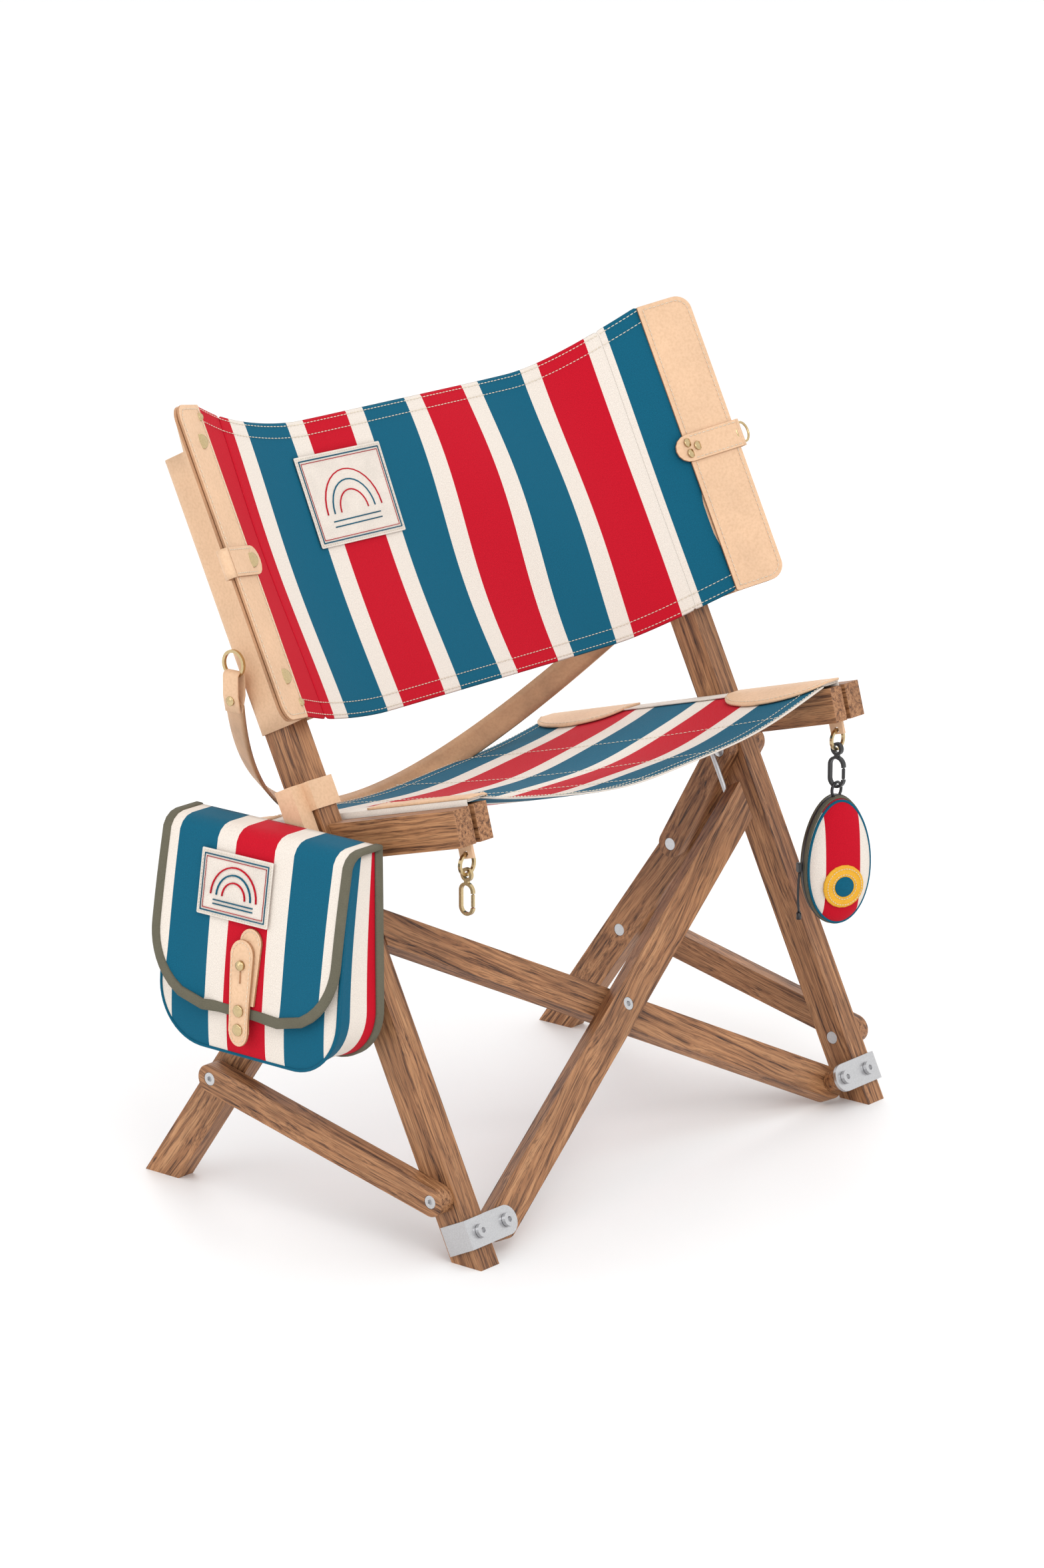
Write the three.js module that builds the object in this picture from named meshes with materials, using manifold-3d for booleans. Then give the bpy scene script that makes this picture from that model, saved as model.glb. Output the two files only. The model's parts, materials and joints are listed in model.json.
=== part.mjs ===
// A folding beach chair: two side frames joined by crossed bars, rails that carry a sling seat,
// a sleeved backrest, a carry strap, a side bag and a hanging pouch.
// Millimetres, +Z up. The chair faces -Y, and +X is its left-hand side as it is sat in.
import * as THREE from 'three';
import { mergeVertices } from 'three/addons/utils/BufferGeometryUtils.js';
import Module from 'manifold-3d';

const wasm = await Module();
wasm.setup();

// ---------- driving dimensions ----------
const overallWidth = 560; // over the outer faces of the posts
const postLength = 708; // along the post
const postLean = THREE.MathUtils.degToRad(25.76); // back from vertical
const postThick = 23; // across the chair
const postDeep = 28.6;
const legLean = THREE.MathUtils.degToRad(35.36); // forward from vertical
const legReach = 342.7; // floor distance from the post's foot to the leg's foot
const legThick = 18.3;
const legDeep = 31.4;
const plank = 14.7; // thickness of braces, cheeks and cross bars
const braceWide = 25;
const barWide = 30;
const gap = 0.3; // between touching pieces
const railTilt = THREE.MathUtils.degToRad(15);
const railHigh = 31;
const railInnerThick = 16;
const railOuterThick = 20;
const hemSlot = 5.3; // between the two boards of a rail
const railFront = 145; // in front of the cheeks' upper bolt
const railRear = 196; // behind it
const boltHeadRadius = 5.6;
const boltHeadThick = 3;
const shankRadius = 3;
const clothThick = 3;
const seatSag = 30;

// ---------- places worked out from them ----------
const postOuter = overallWidth / 2;
const postInner = postOuter - postThick;
const outerFace = postOuter + gap;
const innerFace = postInner - gap;
const outerEnd = outerFace + plank;
const innerEnd = innerFace - plank + 0.5;
const braceRound = braceWide / 2;
const sinLean = Math.sin(postLean);
const cosLean = Math.cos(postLean);
const railInnerFrom = innerEnd - 9.2;
const railInnerTo = railInnerFrom + railInnerThick;
const railOuterFrom = railInnerTo + hemSlot;

// Points of the side view are (y, z).
function onPost(along, behind) {
  return new THREE.Vector2(along * sinLean + behind * cosLean, along * cosLean - behind * sinLean);
}
function postAtHeight(behind, z) {
  return onPost((z + behind * sinLean) / cosLean, behind);
}
const legFoot = new THREE.Vector2(legReach + legDeep / (2 * Math.cos(legLean)), 0);
function onLeg(along, across) {
  const y = legFoot.x - along * Math.sin(legLean) + across * Math.cos(legLean);
  return new THREE.Vector2(y, along * Math.cos(legLean) + across * Math.sin(legLean));
}
function legAtFloor(across) {
  return onLeg(-across * Math.tan(legLean), across);
}
function behindPost(point) {
  return point.x * cosLean - point.y * sinLean;
}
// A point on a straight line, where it stands a set distance behind the post's front face.
function whereBehind(pointAt, across, behind) {
  const start = behindPost(pointAt(0, across));
  const perUnit = behindPost(pointAt(1, across)) - start;
  return pointAt((behind - start) / perUnit, across);
}
const boltA = onPost(343, postDeep / 2); // cheeks to post
const boltB = onLeg(252, 0); // cheeks to leg
const boltC = onLeg(131.2, 0); // brace to leg
const boltD = onPost(67, postDeep / 2); // brace to post
// Rail coordinates: along from bolt A (positive to the rear), height above the rail's underside.
const railLift = braceRound + 0.7;
function onRail(along, height) {
  const up = height + railLift;
  const y = boltA.x + along * Math.cos(railTilt) + up * Math.sin(railTilt);
  return new THREE.Vector2(y, boltA.y - along * Math.sin(railTilt) + up * Math.cos(railTilt));
}

// ---------- helpers ----------
function solid(geometry) {
  const bare = geometry.clone();
  bare.deleteAttribute('normal');
  bare.deleteAttribute('uv');
  const merged = mergeVertices(bare, 1e-4);
  const vertProperties = new Float32Array(merged.attributes.position.array);
  const triVerts = new Uint32Array(merged.index.array);
  return new wasm.Manifold(new wasm.Mesh({ numProp: 3, vertProperties, triVerts }));
}
function toGeometry(manifold) {
  const mesh = manifold.getMesh();
  const geometry = new THREE.BufferGeometry();
  geometry.setAttribute('position', new THREE.BufferAttribute(mesh.vertProperties, 3));
  geometry.setIndex(new THREE.BufferAttribute(mesh.triVerts, 1));
  geometry.computeVertexNormals();
  return geometry;
}
function cut(geometry, tools) {
  return toGeometry(tools.reduce((rest, tool) => rest.subtract(solid(tool)), solid(geometry)));
}
function join(geometries) {
  return toGeometry(geometries.map(solid).reduce((whole, piece) => whole.add(piece)));
}
function polygon(points) {
  return new THREE.Shape(points);
}
function ringShape(outer, inner) {
  outer.holes.push(inner);
  return outer;
}
// A polygon with one polygonal hole, each wound the way an extrusion needs it.
function pierced(outerPoints, innerPoints) {
  const outer = THREE.ShapeUtils.isClockWise(outerPoints) ? outerPoints.toReversed() : outerPoints;
  const inner = THREE.ShapeUtils.isClockWise(innerPoints) ? innerPoints : innerPoints.toReversed();
  return ringShape(new THREE.Shape(outer), new THREE.Path(inner));
}
// Extrudes a shape along local z, between two heights given in either order.
function slab(shape, from, to) {
  const geometry = new THREE.ExtrudeGeometry(shape, {
    depth: Math.abs(to - from),
    bevelEnabled: false,
    curveSegments: 12,
  });
  return geometry.translate(0, 0, Math.min(from, to));
}
function rod(center, radius, from, to, sides = 20) {
  const geometry = new THREE.CylinderGeometry(radius, radius, Math.abs(to - from), sides);
  geometry.rotateX(Math.PI / 2);
  return geometry.translate(center.x, center.y, (from + to) / 2);
}
function box(x0, x1, y0, y1, z0, z1) {
  const geometry = new THREE.BoxGeometry(Math.abs(x1 - x0), Math.abs(y1 - y0), Math.abs(z1 - z0));
  return geometry.translate((x0 + x1) / 2, (y0 + y1) / 2, (z0 + z1) / 2);
}
// A bar with fully rounded ends between two points.
function stadium(a, b, radius) {
  const angle = Math.atan2(b.y - a.y, b.x - a.x);
  const shape = new THREE.Shape();
  shape.absarc(a.x, a.y, radius, angle + Math.PI / 2, angle + 1.5 * Math.PI, false);
  shape.absarc(b.x, b.y, radius, angle - Math.PI / 2, angle + Math.PI / 2, false);
  shape.closePath();
  return shape;
}
function circlePath(center, radius) {
  return new THREE.Path().absarc(center.x, center.y, radius, 0, 2 * Math.PI, true);
}
// A flush bolt: a socket head at one end, a barrel nut head at the other.
function bolt(center, headEnd, tailEnd) {
  const way = Math.sign(tailEnd - headEnd);
  const body = join([
    rod(center, shankRadius, headEnd, tailEnd),
    rod(center, boltHeadRadius, headEnd, headEnd + way * boltHeadThick),
    rod(center, boltHeadRadius, tailEnd - way * boltHeadThick, tailEnd),
  ]);
  return cut(body, [rod(center, 2.6, headEnd - way, headEnd + way * 2, 6)]);
}
// What a flush bolt needs cut away, from one end of it to the other.
function boltRoom(center, headEnd, tailEnd) {
  const way = Math.sign(tailEnd - headEnd);
  return [
    rod(center, shankRadius + gap, headEnd, tailEnd),
    rod(center, boltHeadRadius + gap, headEnd - way, headEnd + way * (boltHeadThick + gap)),
    rod(center, boltHeadRadius + gap, tailEnd - way * (boltHeadThick + gap), tailEnd + way),
  ];
}

// ---------- materials ----------
function paint(color, roughness, metalness = 0) {
  return new THREE.MeshStandardMaterial({ color, roughness, metalness });
}
const wood = paint(0x7a5636, 0.55);
const endWood = paint(0x5e4029, 0.6);
const steel = paint(0xc8cacc, 0.25, 1);
const brass = paint(0xb59a5a, 0.3, 1);
const leather = paint(0xd9ae84, 0.6);
const stripe = paint(0x155f82, 0.85);
const cloth = paint(0xcd142d, 0.85);
const black = paint(0x111214, 0.5);

// ---------- scene graph ----------
const chair = new THREE.Group();
// Side view: local x is world Y, local y is world Z and local z is world X.
const sideView = new THREE.Group();
const basis = new THREE.Matrix4().makeBasis(
  new THREE.Vector3(0, 1, 0),
  new THREE.Vector3(0, 0, 1),
  new THREE.Vector3(1, 0, 0),
);
sideView.quaternion.setFromRotationMatrix(basis);
// Face view of the posts' plane: local y runs up the posts and local z stands out to the front.
const faceView = new THREE.Group();
faceView.rotation.x = Math.PI / 2 - postLean;
chair.add(sideView, faceView);

function add(group, name, geometry, material) {
  const mesh = new THREE.Mesh(geometry, material);
  mesh.name = name;
  group.add(mesh);
}

// ---------- side frames ----------
const boltSpots = {
  a: { at: boltA, from: outerEnd - gap, to: innerEnd + gap },
  b: { at: boltB, from: outerEnd - gap, to: innerEnd + gap },
  c: { at: boltC, from: outerEnd - gap, to: postInner + 2 * gap },
  d: { at: boltD, from: outerEnd - gap, to: postInner + gap },
};
function roomFor(names, side) {
  return names.flatMap((name) => {
    const spot = boltSpots[name];
    return boltRoom(spot.at, side * spot.from, side * spot.to);
  });
}
function post(side) {
  const outline = polygon([
    onPost(0, 0),
    postAtHeight(postDeep, 0),
    onPost(postLength, postDeep),
    onPost(postLength, 0),
  ]);
  const geometry = slab(outline, side * postInner, side * postOuter);
  return cut(geometry, roomFor(['a', 'd'], side));
}
function rearLeg(side) {
  const clear = postDeep + 2 * gap;
  const outline = polygon([
    legAtFloor(-legDeep / 2),
    legAtFloor(legDeep / 2),
    whereBehind(onLeg, legDeep / 2, clear),
    whereBehind(onLeg, -legDeep / 2, clear),
  ]);
  const geometry = slab(outline, side * (postInner + gap), side * (postInner + gap + legThick));
  return cut(geometry, roomFor(['b', 'c'], side));
}
function sideBar(a, b, from, to, bolts, side) {
  const geometry = slab(stadium(a, b, braceRound), side * from, side * to);
  return cut(geometry, roomFor(bolts, side));
}
function addSideFrame(side, tag) {
  add(sideView, `post_${tag}`, post(side), wood);
  add(sideView, `rear_leg_${tag}`, rearLeg(side), wood);
  add(sideView, `side_brace_${tag}`, sideBar(boltD, boltC, outerFace, outerEnd, ['c', 'd'], side), wood);
  add(sideView, `cheek_outer_${tag}`, sideBar(boltA, boltB, outerFace, outerEnd, ['a', 'b'], side), wood);
  add(sideView, `cheek_inner_${tag}`, sideBar(boltA, boltB, innerFace, innerEnd, ['a', 'b'], side), wood);
  for (const [name, spot] of Object.entries(boltSpots)) {
    add(sideView, `bolt_${name}_${tag}`, bolt(spot.at, side * spot.from, side * spot.to), steel);
  }
}

// ---------- rails ----------
const eyeThick = 4.5;
const barLayer = plank + gap; // one layer of the cross, in front of the next
const eyeBehindRight = gap + barLayer;
const eyeBehindLeft = gap + 2 * barLayer;
const pivotX = postInner - 22;
const footPivotUp = 31;
const crossUp = 161;
const topPivotUp = 2 * crossUp - footPivotUp;
const eyeRadius = 6;
const eyeShankX = pivotX + 2;
const eyeShankRadius = 2.2;
const screwRadius = 2.4;

function eyeShank(side, behind, extra) {
  const along = new THREE.CylinderGeometry(
    eyeShankRadius + extra,
    eyeShankRadius + extra,
    topPivotUpToRail() + extra,
    16,
  );
  const middle = topPivotUp + (topPivotUpToRail() + extra) / 2;
  return along.translate(side * eyeShankX, middle, -(behind + eyeThick / 2));
}
function topPivotUpToRail() {
  const underside = whereBehind(onRail, 0, eyeBehindLeft);
  return underside.x * sinLean + underside.y * cosLean + 10 - topPivotUp;
}
// The shank's hole, in side-view coordinates.
function shankHole(side, behind) {
  const hole = eyeShank(side, behind, gap);
  hole.applyMatrix4(new THREE.Matrix4().makeRotationX(Math.PI / 2 - postLean));
  return hole.applyMatrix4(basis.clone().invert());
}
function railInner(side, behind) {
  const outline = polygon([
    onRail(-railFront, 0),
    onRail(railRear, 0),
    onRail(railRear, railHigh),
    onRail(-railFront, railHigh),
  ]);
  const geometry = slab(outline, side * railInnerFrom, side * railInnerTo);
  return cut(geometry, [shankHole(side, behind)]);
}
function railOuter(side) {
  const outline = polygon([
    onRail(-railFront, 0),
    whereBehind(onRail, 0, -2 * gap),
    whereBehind(onRail, railHigh, -2 * gap),
    onRail(-railFront, railHigh),
  ]);
  return slab(outline, side * railOuterFrom, side * (railOuterFrom + railOuterThick));
}
function railEye(side, behind) {
  const center = new THREE.Vector2(side * pivotX, topPivotUp);
  const eye = rod(center, eyeRadius, -behind, -(behind + eyeThick));
  const shank = eyeShank(side, behind, 0);
  return cut(join([eye, shank]), [rod(center, screwRadius + gap, -behind + 1, -(behind + eyeThick + 1))]);
}
const screwDepth = 11;
function eyeScrew(side, behind) {
  const center = new THREE.Vector2(side * pivotX, topPivotUp);
  const back = -(behind + eyeThick + gap);
  const head = rod(center, 4.4, back, back - 2.6);
  const screw = join([head, rod(center, screwRadius, back - 1, -behind + screwDepth)]);
  return cut(screw, [rod(center, 2, back - 4, back - 1.4, 6)]);
}
function addRails(side, tag, behind) {
  add(sideView, `rail_inner_${tag}`, railInner(side, behind), wood);
  add(sideView, `rail_outer_${tag}`, railOuter(side), wood);
  add(faceView, `rail_eye_${tag}`, railEye(side, behind), steel);
  add(faceView, `rail_eye_screw_${tag}`, eyeScrew(side, behind), steel);
}

// ---------- crossed bars, seen on the posts' face ----------
const barEnd = pivotX + 4.5;
const strapThick = 3;
const strapWide = 25;
const buttonRadius = 6;
const buttonHigh = 3.4;
const spacerRadius = 9;

function crossBar(side, front) {
  const foot = new THREE.Vector2(-side * pivotX, footPivotUp);
  const top = new THREE.Vector2(side * pivotX, topPivotUp);
  const beyond = top.clone().add(top.clone().sub(foot).normalize().multiplyScalar(barWide));
  const full = slab(stadium(foot, beyond, barWide / 2), -front, -(front + plank));
  const cutOff = box(side * barEnd, side * (barEnd + 100), 0, postLength, 10, -100);
  const center = new THREE.Vector2(0, crossUp);
  return cut(full, [
    cutOff,
    ...boltRoom(center, -gap * 2, -(2 * barLayer - gap)),
    rod(foot, shankRadius + gap, 10, -100),
    rod(top, screwRadius + gap, -(front + plank + 1), -(front + plank - screwDepth - gap)),
  ]);
}
function bracket(side) {
  const front = strapThick + gap;
  const inner = new THREE.Vector2(side * pivotX, footPivotUp);
  const outer = new THREE.Vector2(side * (outerFace + strapThick), footPivotUp);
  const plate = slab(stadium(inner, outer, strapWide / 2), gap, front);
  const beyond = box(outer.x, outer.x + side * 40, 0, 100, -10, 10);
  const low = footPivotUp - strapWide / 2;
  const high = footPivotUp + strapWide / 2;
  const wrap = box(side * outerFace, outer.x, low, high, front, -postDeep + 4);
  const postScrewX = side * (postInner + postThick / 2);
  return cut(join([cut(plate, [beyond]), wrap]), [
    rod(inner, shankRadius + gap, -10, 20),
    rod(new THREE.Vector2(postScrewX, footPivotUp), shankRadius + gap, -10, 20),
  ]);
}
function buttonBolt(x, tail) {
  const center = new THREE.Vector2(x, footPivotUp);
  const seat = strapThick + 2 * gap;
  const head = rod(center, buttonRadius, seat, seat + buttonHigh);
  const body = join([head, rod(center, shankRadius, seat + 1, tail)]);
  return cut(body, [rod(center, 2.6, seat + 1.4, seat + buttonHigh + 1, 6)]);
}
function addCross() {
  add(faceView, 'cross_bar_front', crossBar(1, gap), wood);
  add(faceView, 'cross_bar_rear', crossBar(-1, gap + barLayer), wood);
  const center = new THREE.Vector2(0, crossUp);
  add(faceView, 'centre_bolt', bolt(center, -gap * 2, -(2 * barLayer - gap)), steel);
  const footRight = new THREE.Vector2(pivotX, footPivotUp);
  const spacer = slab(
    ringShape(
      new THREE.Shape().absarc(footRight.x, footRight.y, spacerRadius, 0, 2 * Math.PI, false),
      circlePath(footRight, shankRadius + gap),
    ),
    0,
    -barLayer + gap / 2,
  );
  add(faceView, 'barrel_spacer', spacer, endWood);
  for (const [side, tag] of [[-1, 'left'], [1, 'right']]) {
    add(faceView, `foot_bracket_${tag}`, bracket(side), steel);
    const layers = side > 0 ? 2 : 1;
    add(faceView, `foot_pivot_bolt_${tag}`, buttonBolt(side * pivotX, -layers * barLayer), steel);
  }
}
function postScrewHoles(side) {
  const hole = rod(new THREE.Vector2(side * (postInner + postThick / 2), footPivotUp), shankRadius + gap, 5, -22);
  hole.applyMatrix4(new THREE.Matrix4().makeRotationX(Math.PI / 2 - postLean));
  return hole.applyMatrix4(basis.clone().invert());
}
function addBracketScrews() {
  for (const [side, tag] of [[-1, 'left'], [1, 'right']]) {
    const mesh = sideView.getObjectByName(`post_${tag}`);
    mesh.geometry = cut(mesh.geometry, [postScrewHoles(side)]);
    const x = side * (postInner + postThick / 2);
    add(faceView, `foot_post_screw_${tag}`, buttonBolt(x, -20), steel);
  }
}

// ---------- textiles ----------
const backLow = 461;
const backHigh = 716;
const sleeveLow = 468;
const sleeveHigh = 742;
const flapReach = 55; // beyond the posts' outer faces
const slingEdge = postInner - 7;
const slingMiddle = 12; // behind the posts' front face
const slingEdgeFront = 12.5; // in front of it

function backCurve(x) {
  return -slingMiddle + (slingMiddle + slingEdgeFront) * (x / slingEdge) ** 4;
}
function strip(halfWidth, steps, curve, thick) {
  const above = [];
  const below = [];
  for (let i = 0; i <= steps; i += 1) {
    const x = -halfWidth + (2 * halfWidth * i) / steps;
    above.push(new THREE.Vector2(x, curve(x)));
    below.unshift(new THREE.Vector2(x, curve(x) - thick));
  }
  return polygon(below.concat(above).reverse());
}
// Turns a shape drawn in (x, front) so that it runs up the posts' face.
function upTheFace(shape, low, high) {
  return slab(shape, -high, -low).rotateX(Math.PI / 2);
}
function backSleeve(side) {
  const p = (x, front) => new THREE.Vector2(side * x, front);
  const wall = 2.9;
  const clear = 0.8;
  const inner = postInner - clear;
  const outer = postOuter + clear;
  const back = postDeep + clear;
  const tip = postOuter + flapReach;
  const edge = slingEdge + gap;
  const slope = 0.466;
  const front = (x) => slingEdgeFront + slope * (x - slingEdge);
  const outline = [
    p(edge, front(edge)),
    p(tip, front(tip) - 2),
    p(tip, front(tip) - 6),
    p(outer + 9, front(outer) - 1),
    p(outer + wall, 12),
    p(outer + wall, -back - wall),
    p(inner - wall, -back - wall),
    p(inner - wall, front(edge) - 4),
    p(edge, front(edge) - 4),
  ];
  const passage = [
    p(inner, front(inner) - 4.4),
    p(outer, front(outer) - 4.4),
    p(outer, -back),
    p(inner, -back),
  ];
  return upTheFace(pierced(outline, passage), sleeveLow, sleeveHigh);
}
function seatSling() {
  const top = railHigh + gap;
  const hemInner = railInnerTo + gap;
  const hemOuter = hemInner + clothThick;
  const inside = railInnerFrom - 1;
  const sag = (x) => top - seatSag * (1 - (x / inside) ** 2);
  const steps = 24;
  const points = [];
  for (let i = 0; i <= steps; i += 1) {
    const x = -inside + (2 * inside * i) / steps;
    points.push(new THREE.Vector2(x, sag(x)));
  }
  points.push(new THREE.Vector2(hemInner, top));
  points.push(new THREE.Vector2(hemInner, 6));
  points.push(new THREE.Vector2(hemOuter, 6));
  points.push(new THREE.Vector2(hemOuter, top + clothThick));
  for (let i = steps; i >= 0; i -= 1) {
    const x = -inside + (2 * inside * i) / steps;
    points.push(new THREE.Vector2(x, sag(x) + clothThick));
  }
  points.push(new THREE.Vector2(-hemOuter, top + clothThick));
  points.push(new THREE.Vector2(-hemOuter, 6));
  points.push(new THREE.Vector2(-hemInner, 6));
  points.push(new THREE.Vector2(-hemInner, top));
  const geometry = slab(polygon(points), -railRear + 2, railFront - 2);
  // Drawn in (x, height) and extruded against the rail's direction.
  const start = onRail(0, 0);
  const frame = new THREE.Matrix4().makeRotationX(Math.PI / 2 - railTilt);
  return geometry.applyMatrix4(frame).translate(0, start.x, start.y);
}
const strapEndX = 298;
const strapEnd = new THREE.Vector2(248, 450); // (y, z) of both ends
const strapMiddle = new THREE.Vector2(375, 280); // (y, z) where it hangs lowest
const strapWidth = 25;
const strapLeather = 3;
function carryStrap() {
  const drop = strapEnd.distanceTo(strapMiddle);
  const hang = (x) => -drop * (1 - (x / strapEndX) ** 2);
  const shape = strip(strapEndX - 4, 40, hang, strapLeather);
  const angle = Math.atan2(strapEnd.y - strapMiddle.y, strapEnd.x - strapMiddle.x);
  const geometry = slab(shape, -strapWidth / 2, strapWidth / 2);
  return geometry.rotateX(angle).translate(0, strapEnd.x, strapEnd.y);
}
function backRing(side) {
  const spot = new THREE.Vector2(0, 0);
  const ring = ringShape(
    new THREE.Shape().absarc(0, 0, 12, 0, 2 * Math.PI, false),
    circlePath(spot, 9.4),
  );
  const geometry = slab(ring, -1.3, 1.3);
  const place = onPost(535, 20);
  return geometry.rotateY(Math.PI / 2).translate(side * (strapEndX - 3), place.x, place.y);
}

// ---------- hanging hardware under the rails' front ends ----------
const wire = 2.5;
const tabAlong = -(railFront - 15);
const ringRadius = 8.75;
const ringX = railInnerTo + hemSlot / 2;
const tabHole = onRail(tabAlong, -8);
function railTab(side) {
  const outline = polygon([
    onRail(tabAlong - 7, -12),
    onRail(tabAlong + 7, -12),
    onRail(tabAlong + 7, 5),
    onRail(tabAlong - 7, 5),
  ]);
  outline.holes.push(circlePath(tabHole, 2.5));
  return slab(outline, side * (ringX - 1.5), side * (ringX + 1.5));
}
function dRing(side) {
  const center = new THREE.Vector2(side * ringX, tabHole.y - ringRadius);
  const shape = ringShape(
    new THREE.Shape().absarc(center.x, center.y, ringRadius + wire / 2, 0, 2 * Math.PI, false),
    circlePath(center, ringRadius - wire / 2),
  );
  const geometry = slab(shape, -wire / 2, wire / 2);
  return geometry.rotateX(Math.PI / 2).translate(0, tabHole.x, 0);
}
// A hook in the side view: an eye, a neck and a long loop with an opening for its gate.
function hookShape(size) {
  const eye = new THREE.Vector2(tabHole.x, tabHole.y - 2 * ringRadius);
  const upper = new THREE.Vector2(eye.x, eye.y - size.neck);
  const lower = new THREE.Vector2(eye.x, upper.y - size.long);
  return { eye, upper, lower };
}
function hookBody(side, size) {
  const { eye, upper, lower } = hookShape(size);
  const from = side * ringX - size.thick / 2;
  const to = from + size.thick;
  const eyeRing = slab(
    ringShape(stadium(eye, new THREE.Vector2(eye.x, eye.y - 0.01), 5.8), circlePath(eye, 3.3)),
    from,
    to,
  );
  const loop = slab(
    ringShape(stadium(upper, lower, size.half), stadium(upper, lower, size.half - wire)),
    from,
    to,
  );
  const neck = box(eye.x - 2, eye.x + 2, upper.y + size.half - 1, eye.y - 4, from, to);
  const mouth = box(eye.x - size.half - 5, eye.x - size.half + wire + 1, upper.y - 1, lower.y, from - 1, to + 1);
  return cut(join([eyeRing, loop, neck]), [mouth]);
}
function hookGate(side, size) {
  const { eye, upper, lower } = hookShape(size);
  const x = eye.x - size.half + wire / 2;
  const from = side * ringX - 1;
  return slab(
    stadium(new THREE.Vector2(x, upper.y - 2.8), new THREE.Vector2(x, lower.y + 1.6), 1.2),
    from,
    from + 2,
  );
}
const hookSize = { neck: 14, long: 13, half: 7.5, thick: 3 };
const carabinerSize = { neck: 15, long: 12, half: 8.5, thick: 4 };
const pouchDeep = 35;
const pouchLowRadius = 39;
const pouchTopRadius = 27;
const pouchHigh = 115;
function pouchPlace() {
  const { lower } = hookShape(carabinerSize);
  const grip = new THREE.Vector2(ringX, lower.y - carabinerSize.half + wire / 2);
  return { y: lower.x, grip };
}
function pouchOutline() {
  const { grip } = pouchPlace();
  const top = new THREE.Vector2(grip.x, grip.y - 9 - pouchTopRadius);
  const low = new THREE.Vector2(grip.x, top.y + pouchTopRadius - pouchHigh + pouchLowRadius);
  const lean = Math.asin((pouchLowRadius - pouchTopRadius) / (top.y - low.y));
  return { grip, top, low, lean };
}
function pouchBody() {
  const { y } = pouchPlace();
  const { grip, top, low, lean } = pouchOutline();
  const shape = new THREE.Shape();
  shape.absarc(top.x, top.y, pouchTopRadius, lean, Math.PI - lean, false);
  shape.absarc(low.x, low.y, pouchLowRadius, Math.PI - lean, 2 * Math.PI + lean, false);
  shape.closePath();
  const body = slab(shape, -pouchDeep / 2, pouchDeep / 2);
  const loop = slab(
    ringShape(
      new THREE.Shape().absarc(grip.x, grip.y - 3, 8, 0, 2 * Math.PI, false),
      circlePath(new THREE.Vector2(grip.x, grip.y - 3), 5.6),
    ),
    -1.2,
    1.2,
  );
  return join([body, loop]).rotateX(Math.PI / 2).translate(0, y, 0);
}
function zipSlider() {
  const { y } = pouchPlace();
  const { low, lean } = pouchOutline();
  const reach = pouchLowRadius + gap;
  const at = new THREE.Vector2(low.x - Math.cos(lean) * reach, low.y + Math.sin(lean) * reach);
  const geometry = new THREE.BoxGeometry(3, 6, 9);
  geometry.translate(-1.5 - gap, 0, 4.5);
  return geometry.rotateY(lean).translate(at.x, y, at.y);
}

// ---------- side bag ----------
const bagBack = outerEnd + 2;
const bagDeep = 43;
const bagY = [90, 285];
const bagZ = [163, 347];
const flapLow = 205;
const flapInset = 4; // from the bag's back, so that the flap clears the loop as it opens
function bagBody() {
  const shape = new THREE.Shape();
  const r = 34;
  shape.moveTo(bagY[0], bagZ[1]);
  shape.lineTo(bagY[0], bagZ[0] + r);
  shape.absarc(bagY[0] + r, bagZ[0] + r, r, Math.PI, 1.5 * Math.PI, false);
  shape.absarc(bagY[1] - r, bagZ[0] + r, r, 1.5 * Math.PI, 2 * Math.PI, false);
  shape.lineTo(bagY[1], bagZ[1]);
  shape.closePath();
  return slab(shape, -bagBack, -(bagBack + bagDeep));
}
function bagFlap() {
  const outer = bagBack + bagDeep + gap;
  const top = bagZ[1] + gap;
  const p = (x, z) => new THREE.Vector2(-x, z);
  const shape = polygon([
    p(bagBack + flapInset, top),
    p(bagBack + flapInset, top + clothThick),
    p(outer + clothThick, top + clothThick),
    p(outer + clothThick, flapLow),
    p(outer, flapLow),
    p(outer, top),
  ]);
  const geometry = slab(shape, -bagY[1] - 2, -bagY[0] + 2);
  return geometry.rotateX(Math.PI / 2);
}
function closingStrap() {
  const face = -(bagBack + bagDeep + clothThick + 2 * gap);
  const y = (bagY[0] + bagY[1]) / 2;
  const a = new THREE.Vector2(y, 186);
  const b = new THREE.Vector2(y, 256);
  return slab(stadium(a, b, 11), face, face - clothThick);
}
function bagStud() {
  const face = -(bagBack + bagDeep + 2 * clothThick + 3 * gap);
  return rod(new THREE.Vector2((bagY[0] + bagY[1]) / 2, 243), 4, face, face - 3);
}
function bagLoop() {
  const low = 400;
  const high = 424;
  const clear = 0.5;
  const wall = 2.4;
  const around = (extra) => [
    new THREE.Vector2(-(postOuter + extra), extra),
    new THREE.Vector2(-(postOuter + extra), -(postDeep + extra)),
    new THREE.Vector2(-(postInner - extra), -(postDeep + extra)),
    new THREE.Vector2(-(postInner - extra), extra),
  ];
  const band = upTheFace(pierced(around(clear + wall), around(clear)), low, high);
  const tongue = box(-(postOuter + clear + 1), -(bagBack - gap), low - 28, high, -5, -24);
  return join([band, tongue]);
}

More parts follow.
